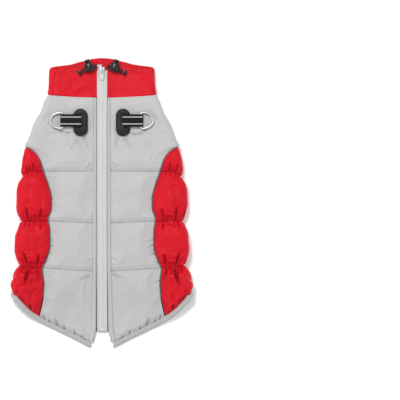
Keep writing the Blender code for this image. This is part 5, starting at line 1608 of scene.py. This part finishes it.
def back_top(x, y):
    return back_height(x, y) + GREY_LIFT


def oval(half_width, half_height, steps=48):
    straight, points = half_height - half_width, []
    for k in range(steps):
        t = 2 * math.pi * (k + 0.5) / steps
        points.append((half_width * math.cos(t), half_width * math.sin(t) + math.copysign(straight, math.sin(t))))
    return points


def flat_strap(name, path, half, thick, across_axis, material, node, slot):
    """A flat strap along a path in one plane. across_axis is the unit vector along its width."""
    t = np.linspace(-1, 1, 9)[None, :, None]
    along = np.gradient(path, axis=0)
    along /= np.linalg.norm(along, axis=1, keepdims=True)
    across = np.asarray(across_axis, float)
    out = np.cross(across, along)[:, None, :] * thick / 2 * (1 - 0.25 * (np.abs(t) > 0.95))
    middle = path[:, None, :] + across * t * half
    run = run_of(path)[:, None]
    u, v = t[..., 0] * half + 0 * run, run + 0 * t[..., 0]
    fix_normals(add_wall(name, middle + out, middle - out, u, v, True, material, node, slot).data)


def build_leash_ports():
    for side, hand in HANDS:
        base = max(back_top(PATCH_X + dx, PATCH_Y + dy) for dx in (-11, 0, 11) for dy in (-22, 0, 22)) + 0.3
        slot_hole = [(dx, dy + WEB_Y - PATCH_Y) for dx, dy in ((-2.2, -10.7), (2.2, -10.7), (2.2, 10.7), (-2.2, 10.7))]
        body = plate(oval(PATCH_HALF_WIDTH, PATCH_HALF_HEIGHT), 1.5, hole=slot_hole, round_by=0.3)
        move(body, (0, 0, -0.35))
        rim_line = np.array([(x, y, 0.15) for x, y in oval(PATCH_HALF_WIDTH - 1.3, PATCH_HALF_HEIGHT - 1.3)])
        rim = bmesh_of(rod_mesh("rim", rim_line, 2.3, closed=True, fine=3))
        lip_line = np.array([(x, y + WEB_Y - PATCH_Y, 0.5) for x, y in oval(3.2, 11.9, 32)])
        lip = bmesh_of(rod_mesh("lip", lip_line, 1.2, closed=True, fine=2))
        whole = joined(body, rim, lip)
        move(whole, (side * PATCH_X, PATCH_Y, base + PATCH_THICK / 2))
        add_piece(f"port_cover_{hand}", done(whole, "port"), black_rubber(), f"port_patch_{hand}", slot="black_rubber")
        build_webbing(side, hand, base)
        build_d_ring(side, hand, base + PATCH_THICK + 1.2)


def build_webbing(side, hand, base):
    """Webbing up out of the patch's slot, out over the patch, round the ring's bar and back."""
    top, bar_z = base + PATCH_THICK + 0.3, base + PATCH_THICK + 1.2
    middle = RING_WIRE / 2 + 0.4 + 0.65
    path = [(33.2, base + 0.3), (33.2, top), (34.6, top + 1.7), (38.0, top + 1.95), (46.0, top + 1.95),
            (54.0, top + 2.1)]
    for degrees in range(110, -140, -25):
        t = math.radians(degrees)
        path.append((RING_BAR_X + middle * math.cos(t), bar_z + middle * math.sin(t)))
    path += [(56.0, top - 0.3), (50.0, top + 0.5), (45.0, top + 0.65), (37.5, top + 0.6), (35.3, top - 0.3),
             (35.0, base + 0.3)]
    line = through([(side * x, WEB_Y, z) for x, z in path], 0.8)
    flat_strap(f"leash_webbing_{hand}", line, WEB_WIDTH / 2, 1.15, (0, 1, 0), black_webbing(),
               f"webbing_{hand}", "black_webbing")


def d_outline(half_height, depth, corner, steps=28):
    """Middle line of a D-ring's wire: a straight bar at 0 and a bow out to the depth."""
    points = [(0.0, -half_height + corner), (0.0, -half_height / 2), (0.0, 0.0), (0.0, half_height / 2),
              (0.0, half_height - corner)]
    points += [(corner * (1 - math.cos(t)), half_height - corner * (1 - math.sin(t))) for t in (0.5, 1.0)]
    points.append((corner, half_height))
    for k in range(1, steps):
        t = math.pi / 2 - math.pi * k / steps
        points.append((corner + (depth - corner) * math.cos(t), half_height * math.sin(t)))
    points.append((corner, -half_height))
    points += [(corner * (1 - math.cos(t)), -half_height + corner * (1 - math.sin(t))) for t in (1.0, 0.5)]
    return points


def build_d_ring(side, hand, bar_z):
    rest_z = max(back_top(RING_BAR_X + RING_DEPTH, WEB_Y + dy) for dy in (-8, 0, 8)) + RING_WIRE / 2 + 0.4
    tilt = math.atan2(rest_z - bar_z, RING_DEPTH)
    points = [
        (side * (RING_BAR_X + x * math.cos(tilt)), WEB_Y + y, bar_z + x * math.sin(tilt))
        for x, y in d_outline(RING_HALF_HEIGHT, RING_DEPTH, 2.2)
    ]
    mesh = rod_mesh("d_ring", np.array(points), RING_WIRE, closed=True, fine=6)
    add_piece(f"leash_ring_{hand}", mesh, steel(), f"d_ring_{hand}", f"ring_{hand}", slot="steel")


def build_neck_ring():
    outline = d_outline(CHEST_RING_HALF_WIDTH, CHEST_RING_DEPTH, 1.3, 22)
    points = np.array([(y, CHEST_RING_Y - x, CHEST_RING_Z) for x, y in outline])
    mesh = rod_mesh("neck_ring", points, CHEST_RING_WIRE, closed=True, fine=5)
    add_piece("neck_ring", mesh, black_plastic(), "chest_ring", "chest_ring", slot="black_plastic")
    radius = CHEST_RING_WIRE / 2 + 0.3 + RIBBON_THICK / 2
    seam = float(collar_seam_y(np.array(0.0)))
    path = [(seam - 0.2, CHEST_RING_Z + radius - 0.2), (CHEST_RING_Y - radius, CHEST_RING_Z + radius - 0.1)]
    path += [(CHEST_RING_Y + radius * math.cos(math.radians(d)), CHEST_RING_Z + radius * math.sin(math.radians(d)))
             for d in range(80, -150, -20)]
    line = even(np.array([(0.0, y, z) for y, z in path]), 0.5)
    flat_strap("neck_ribbon", line, RIBBON_WIDTH / 2, 0.6, (1, 0, 0), pale_ribbon(), "chest_ring_ribbon", "pale_ribbon")


# profiles of the cord lock, as (share of its half width, mm along it), and of a cord's eye in mm
BARREL = ((0, -9.4), (0.6, -9.4), (0.74, -9.1), (0.88, -8.5), (0.95, -7.0), (1.0, -5.0), (0.99, -2.0), (0.94, 1.0),
          (0.84, 3.4), (0.74, 4.8), (0.68, 5.0), (0.60, 4.7), (0.56, 3.8), (0.56, -0.2), (0, -0.2))
KNOB = ((0, 0.4), (0.49, 0.4), (0.49, 7.2), (0.56, 7.45), (0.62, 7.8), (0.63, 8.8), (0.60, 9.7), (0.52, 10.35),
        (0.40, 10.6), (0, 10.7))
EYE = ((0, -0.9), (2.1, -0.9), (2.3, 0.0), (2.0, 0.7), (1.3, 0.7), (1.3, 0.0), (0, 0.0))


def build_cord_locks():
    height = back_height(LOCK_X, LOCK_Y - 6.0) + COLLAR_LIFT + 0.4 + LOCK_HALF_THICK
    for side, hand in HANDS:
        along = Vector((side * math.sin(LOCK_LEAN), math.cos(LOCK_LEAN), 0.0))
        across = Vector((side * math.cos(LOCK_LEAN), -math.sin(LOCK_LEAN), 0.0))
        centre = Vector((side * LOCK_X, LOCK_Y, height))
        in_place = Matrix((
            (across.x * LOCK_HALF_WIDTH, 0, along.x, centre.x),
            (across.y * LOCK_HALF_WIDTH, 0, along.y, centre.y),
            (0, LOCK_HALF_THICK, 0, centre.z),
            (0, 0, 0, 1),
        ))
        barrel, knob = turned(BARREL), turned(KNOB)
        for body in (barrel, knob):
            transform(body, in_place)
        eyes = []
        for share in (1, -1):
            for reach in (-1, 1):
                eye = turned(EYE, 20)
                spot = centre + along * (share * CORD_SPACING / 2 + CORD_PLACE)
                spot += across * (reach * LOCK_HALF_WIDTH * 0.93)
                turn = (across * reach).to_track_quat("Z", "Y").to_matrix().to_4x4()
                transform(eye, Matrix.Translation(spot) @ turn)
                eyes.append(eye)
        add_piece(f"lock_barrel_{hand}", done(joined(barrel, *eyes), "lock"), black_plastic(), f"cord_lock_{hand}",
                  slot="black_plastic")
        add_piece(f"lock_knob_{hand}", done(knob, "knob"), black_plastic(), f"lock_button_{hand}", slot="black_plastic")
        build_strands(side, hand, centre, along, across)


def build_strands(side, hand, centre, along, across):
    """Two strands of elastic from the collar through the lock, and the clip at their end."""
    clip = Vector((side * CORD_END[0], CORD_END[1], centre.z - 1.2))
    toward = (clip - (centre + along * CORD_PLACE)).normalized()
    sideways = Vector((-toward.y, toward.x, 0.0)).normalized() * side
    turn = Matrix((
        (toward.x, sideways.x, 0, clip.x), (toward.y, sideways.y, 0, clip.y), (0, 0, 1, clip.z), (0, 0, 0, 1),
    ))
    outline = [(-2.8, -2.9), (-0.6, -3.3), (1.2, -4.2), (2.0, -4.6), (2.9, -3.6), (2.9, 3.6), (2.0, 4.6), (1.2, 4.2),
               (-0.6, 3.3), (-2.8, 2.9)]
    body = plate(outline, 4.4, round_by=0.8, segments=3)
    transform(body, turn)
    clip_piece = add_piece(f"clip_body_{hand}", done(body, "clip"), black_plastic(), f"cord_clip_{hand}",
                           slot="black_plastic")
    for mark, share in (("a", 1), ("b", -1)):
        lane = centre + along * (share * CORD_SPACING / 2 + CORD_PLACE)
        route = [
            lane - across * 12.0 + Vector((0, 0, -3.6)), lane - across * 10.6 + Vector((0, 0, -1.2)),
            lane - across * 8.0, lane, lane + across * 9.0, clip - toward * 3.3 + sideways * share * 1.5,
        ]
        line = through([tuple(p) for p in route], 1.4)
        cord = curve_object(f"strand_{hand}_{mark}", line, CORD_DIAMETER)
        cord.data.materials.append(elastic())
        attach(cord, "jacket")
        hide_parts(f"cord_{hand}_{mark}")


THREAD_SLOTS = {"red": "red_shell", "grey": "grey_shell", "tape": "edge_tape", "black": "black_webbing"}


def build_stitching():
    """Short stitches of thread along every line where cloth is sewn."""
    s, chance = sizes(), np.random.default_rng(61)
    for kind, lines in sorted(SEWN.items()):
        frames = []
        for points, out in lines:
            frames += line_frames(points, out, s.stitch_length / MM, s.stitch_gap / MM, s.thread_radius / MM,
                                  s.thread_radius / MM * 0.7, 0.12, chance)
        bm = bmesh.new()
        bmesh.ops.create_uvsphere(bm, u_segments=6, v_segments=4, radius=1.0,
                                  matrix=Matrix.Rotation(math.pi / 2, 4, "Y"))
        mesh = copies_mesh(f"stitches_{kind}", bm, frames)
        add_piece(f"stitches_{kind}", mesh, thread(kind), slot=THREAD_SLOTS[kind])


# ---------------------------------------------------------------- stage
FLOOR_Z = -0.0004  # in metres, as are the other lengths of the stage
Lamp = namedtuple("Lamp", "name size power place")
LAMPS = table(
    Lamp,
    ("key", 0.6, 38.0, (-0.45, 1.2, 2.2)), ("fill", 1.2, 12.0, (1.9, -0.4, 1.5)), ("low", 1.0, 12.0, (-1.9, -0.7, 0.9)),
)
CAMERA_PLACE, CAMERA_LENS = (0.157, 0.005, 4.0), 224.0  # straight down on the middle of the picture


def build_stage():
    scene, bm = bpy.context.scene, bmesh.new()
    bmesh.ops.create_grid(bm, x_segments=8, y_segments=8, size=6.0)
    move(bm, (0, 0, FLOOR_Z))
    mesh = mesh_from(bm, "floor")
    mesh.materials.append(floor_paint())
    floor = bpy.data.objects.new("floor", mesh)
    scene.collection.objects.link(floor)
    scene.world = bpy.data.worlds.new("studio")
    scene.world.use_nodes = True
    background = scene.world.node_tree.nodes["Background"]
    background.inputs["Color"].default_value = (1, 1, 1, 1)
    background.inputs["Strength"].default_value = 0.50
    scene.view_settings.view_transform = "Standard"
    for lamp in LAMPS:
        light = bpy.data.lights.new(lamp.name, "AREA")
        light.shape, light.size, light.energy = "DISK", lamp.size, lamp.power
        obj = bpy.data.objects.new(lamp.name, light)
        obj.location = lamp.place
        obj.rotation_mode = "QUATERNION"
        obj.rotation_quaternion = Vector(lamp.place).to_track_quat("Z", "Y")
        scene.collection.objects.link(obj)
    camera = bpy.data.cameras.new("camera")
    camera.lens = CAMERA_LENS
    camera.clip_end = 20.0
    scene.camera = bpy.data.objects.new("camera", camera)
    scene.camera.location = CAMERA_PLACE
    scene.collection.objects.link(scene.camera)


def floor_paint():
    material = hard("floor paint", colours().floor, (0.6, 0.7), bump=0.0, drift=0.01, size=200.0)
    shader = material.node_tree.nodes["Principled BSDF"]
    shader.inputs["Emission Color"].default_value = (1, 1, 1, 1)
    shader.inputs["Emission Strength"].default_value = 0.10
    return material


# ---------------------------------------------------------------- settings, operators and panel
def length_prop(name, words, default):
    return bpy.props.FloatProperty(name=name, description=words, default=default, min=0.0, max=0.1, unit="LENGTH",
                                   precision=4)


def share_prop(name, words, default):
    return bpy.props.FloatProperty(name=name, description=words, default=default, min=0.0, max=1.0, subtype="FACTOR")


def colour_prop(name, words, default):
    return bpy.props.FloatVectorProperty(name=name, description=words, default=default, min=0.0, max=1.0, size=3,
                                         subtype="COLOR")


class JacketSizes(bpy.types.PropertyGroup):
    """Sizes of the cloth's folds, the sewing and the zip."""

    gather_depth: share_prop("Gather depth", "Share of the puff that the deepest gathers take away", 1.0)
    red_growth: share_prop("Red growth", "How much larger the red cloth is cut than the form it covers", 0.03)
    grey_growth: share_prop("Grey growth", "How much larger the grey cloth is cut than the form it covers", 0.006)
    steps: bpy.props.IntProperty(name="Cloth steps", description="Steps of the cloth simulation", default=12, min=4,
                                 max=60)
    stitch_length: length_prop("Stitch length", "Length of thread that shows in one stitch", 0.0028)
    stitch_gap: length_prop("Stitch gap", "Cloth between two stitches", 0.0009)
    thread_radius: length_prop("Thread radius", "Half of the thread's width", 0.00032)
    tooth_pitch: length_prop("Tooth pitch", "Distance between two teeth on one tape of the zip", 0.0035)


class JacketColours(bpy.types.PropertyGroup):
    """Base colours of the jacket's finishes."""

    red: colour_prop("Red shell", "Nylon of the sides, belly, chest and collar", (0.60, 0.0035, 0.014))
    grey: colour_prop("Grey shell", "Nylon of the back", (0.465, 0.465, 0.465))
    tape: colour_prop("Edge tape", "Folded tape round the hem and armholes", (0.455, 0.455, 0.46))
    lining: colour_prop("Lining", "Shiny black lining and zip facing", (0.012, 0.012, 0.013))
    piping: colour_prop("Piping", "Cord in the curved seams", (0.095, 0.13, 0.13))
    webbing: colour_prop("Webbing", "Leash webbing and elastic", (0.006, 0.006, 0.007))
    stripe: colour_prop("Webbing stripe", "Pale stripes of the webbing", (0.55, 0.55, 0.55))
    ribbon: colour_prop("Ribbon", "Ribbon of the neck ring", (0.75, 0.75, 0.74))
    zip: colour_prop("Zip", "Tapes and teeth of the zip", (0.62, 0.62, 0.62))
    zip_metal: colour_prop("Slider", "Slider and pull tab", (0.60, 0.60, 0.60))
    steel: colour_prop("Steel", "Leash rings", (0.62, 0.62, 0.62))
    plastic: colour_prop("Plastic", "Cord locks, clips and neck ring", (0.009, 0.009, 0.010))
    rubber: colour_prop("Port patch", "Moulded patches of the leash ports", (0.010, 0.010, 0.011))
    red_thread: colour_prop("Red thread", "Thread in the red cloth", (0.30, 0.006, 0.012))
    grey_thread: colour_prop("Grey thread", "Thread in the grey cloth", (0.27, 0.27, 0.28))
    tape_thread: colour_prop("Tape thread", "Thread in the edge tape and the zip", (0.40, 0.40, 0.41))
    floor: colour_prop("Floor", "Pale studio floor", (0.97, 0.97, 0.97))


class JACKET_OT_stage(bpy.types.Operator):
    """Adds the floor, the lights and the camera."""

    bl_idname = "jacket.stage"
    bl_label = "Stage"

    def execute(self, context):
        build_stage()
        return {"FINISHED"}


class JACKET_OT_cord_locks(bpy.types.Operator):
    """Adds the drawcord's locks, knobs, strands and clips."""

    bl_idname = "jacket.cord_locks"
    bl_label = "Cord locks"

    def execute(self, context):
        build_cord_locks()
        return {"FINISHED"}


class JACKET_OT_back_panels(bpy.types.Operator):
    """Adds the two grey panels of the back."""

    bl_idname = "jacket.back_panels"
    bl_label = "Back"

    def execute(self, context):
        build_back_panels()
        return {"FINISHED"}


class JACKET_OT_side_panels(bpy.types.Operator):
    """Adds the two quilted red sides."""

    bl_idname = "jacket.side_panels"
    bl_label = "Sides"

    def execute(self, context):
        build_side_panels()
        return {"FINISHED"}


class JACKET_OT_belly_panel(bpy.types.Operator):
    """Adds the quilted red belly."""

    bl_idname = "jacket.belly_panel"
    bl_label = "Belly"

    def execute(self, context):
        build_belly_panel()
        return {"FINISHED"}


class JACKET_OT_chest_panel(bpy.types.Operator):
    """Adds the smooth red chest."""

    bl_idname = "jacket.chest_panel"
    bl_label = "Chest"

    def execute(self, context):
        build_chest_panel()
        return {"FINISHED"}


class JACKET_OT_collar(bpy.types.Operator):
    """Adds the collar."""

    bl_idname = "jacket.collar"
    bl_label = "Collar"

    def execute(self, context):
        build_collar()
        return {"FINISHED"}


class JACKET_OT_plackets(bpy.types.Operator):
    """Adds the grey strips beside the zip."""

    bl_idname = "jacket.plackets"
    bl_label = "Zip covers"

    def execute(self, context):
        build_plackets()
        return {"FINISHED"}


class JACKET_OT_zip(bpy.types.Operator):
    """Adds the zip's tapes, teeth, end, slider and pull tab."""

    bl_idname = "jacket.zip"
    bl_label = "Zip"

    def execute(self, context):
        build_zip()
        return {"FINISHED"}


class JACKET_OT_facing(bpy.types.Operator):
    """Adds the black strip under the zip."""

    bl_idname = "jacket.facing"
    bl_label = "Zip facing"

    def execute(self, context):
        build_facing()
        return {"FINISHED"}


class JACKET_OT_lining(bpy.types.Operator):
    """Adds the black lining of the back."""

    bl_idname = "jacket.lining"
    bl_label = "Lining"

    def execute(self, context):
        build_lining()
        return {"FINISHED"}


class JACKET_OT_hem_tape(bpy.types.Operator):
    """Adds the tape round the hem."""

    bl_idname = "jacket.hem_tape"
    bl_label = "Hem tape"

    def execute(self, context):
        build_hem_tape()
        return {"FINISHED"}


class JACKET_OT_armhole_tapes(bpy.types.Operator):
    """Adds the tape round each armhole."""

    bl_idname = "jacket.armhole_tapes"
    bl_label = "Armhole tapes"

    def execute(self, context):
        build_armhole_tapes()
        return {"FINISHED"}


class JACKET_OT_piping(bpy.types.Operator):
    """Adds the dark cord in each curved seam."""

    bl_idname = "jacket.piping"
    bl_label = "Piping"

    def execute(self, context):
        build_piping()
        return {"FINISHED"}


class JACKET_OT_leash_ports(bpy.types.Operator):
    """Adds the patches, webbing and rings of the leash ports."""

    bl_idname = "jacket.leash_ports"
    bl_label = "Leash ports"

    def execute(self, context):
        build_leash_ports()
        return {"FINISHED"}


class JACKET_OT_neck_ring(bpy.types.Operator):
    """Adds the small ring under the neck and its ribbon."""

    bl_idname = "jacket.neck_ring"
    bl_label = "Neck ring"

    def execute(self, context):
        build_neck_ring()
        return {"FINISHED"}


class JACKET_OT_stitching(bpy.types.Operator):
    """Adds the thread of every sewn line."""

    bl_idname = "jacket.stitching"
    bl_label = "Stitching"

    def execute(self, context):
        build_stitching()
        return {"FINISHED"}


# in the order in which they run
BUILDERS = [
    JACKET_OT_stage, JACKET_OT_cord_locks, JACKET_OT_back_panels, JACKET_OT_side_panels, JACKET_OT_belly_panel,
    JACKET_OT_chest_panel, JACKET_OT_collar, JACKET_OT_plackets, JACKET_OT_zip, JACKET_OT_facing, JACKET_OT_lining,
    JACKET_OT_hem_tape, JACKET_OT_armhole_tapes, JACKET_OT_piping, JACKET_OT_leash_ports, JACKET_OT_neck_ring,
    JACKET_OT_stitching,
]


class JACKET_PT_build(bpy.types.Panel):
    """Lists the steps that build the jacket."""

    bl_label = "Padded dog jacket"
    bl_idname = "JACKET_PT_build"
    bl_space_type = "VIEW_3D"
    bl_region_type = "UI"
    bl_category = "Jacket"

    def draw(self, context):
        for builder in BUILDERS:
            self.layout.operator(builder.bl_idname)
        for settings in (context.scene.jacket_sizes, context.scene.jacket_colours):
            box = self.layout.box()
            for name in settings.__annotations__:
                box.prop(settings, name)


CLASSES = [JacketSizes, JacketColours, *BUILDERS, JACKET_PT_build]


def register():
    for kind in CLASSES:
        bpy.utils.register_class(kind)
    bpy.types.Scene.jacket_sizes = bpy.props.PointerProperty(type=JacketSizes)
    bpy.types.Scene.jacket_colours = bpy.props.PointerProperty(type=JacketColours)


def unregister():
    del bpy.types.Scene.jacket_sizes, bpy.types.Scene.jacket_colours
    for kind in reversed(CLASSES):
        bpy.utils.unregister_class(kind)


def main():
    register()
    for builder in BUILDERS:
        getattr(bpy.ops.jacket, builder.bl_idname.split(".")[1])()


if __name__ == "__main__":
    main()
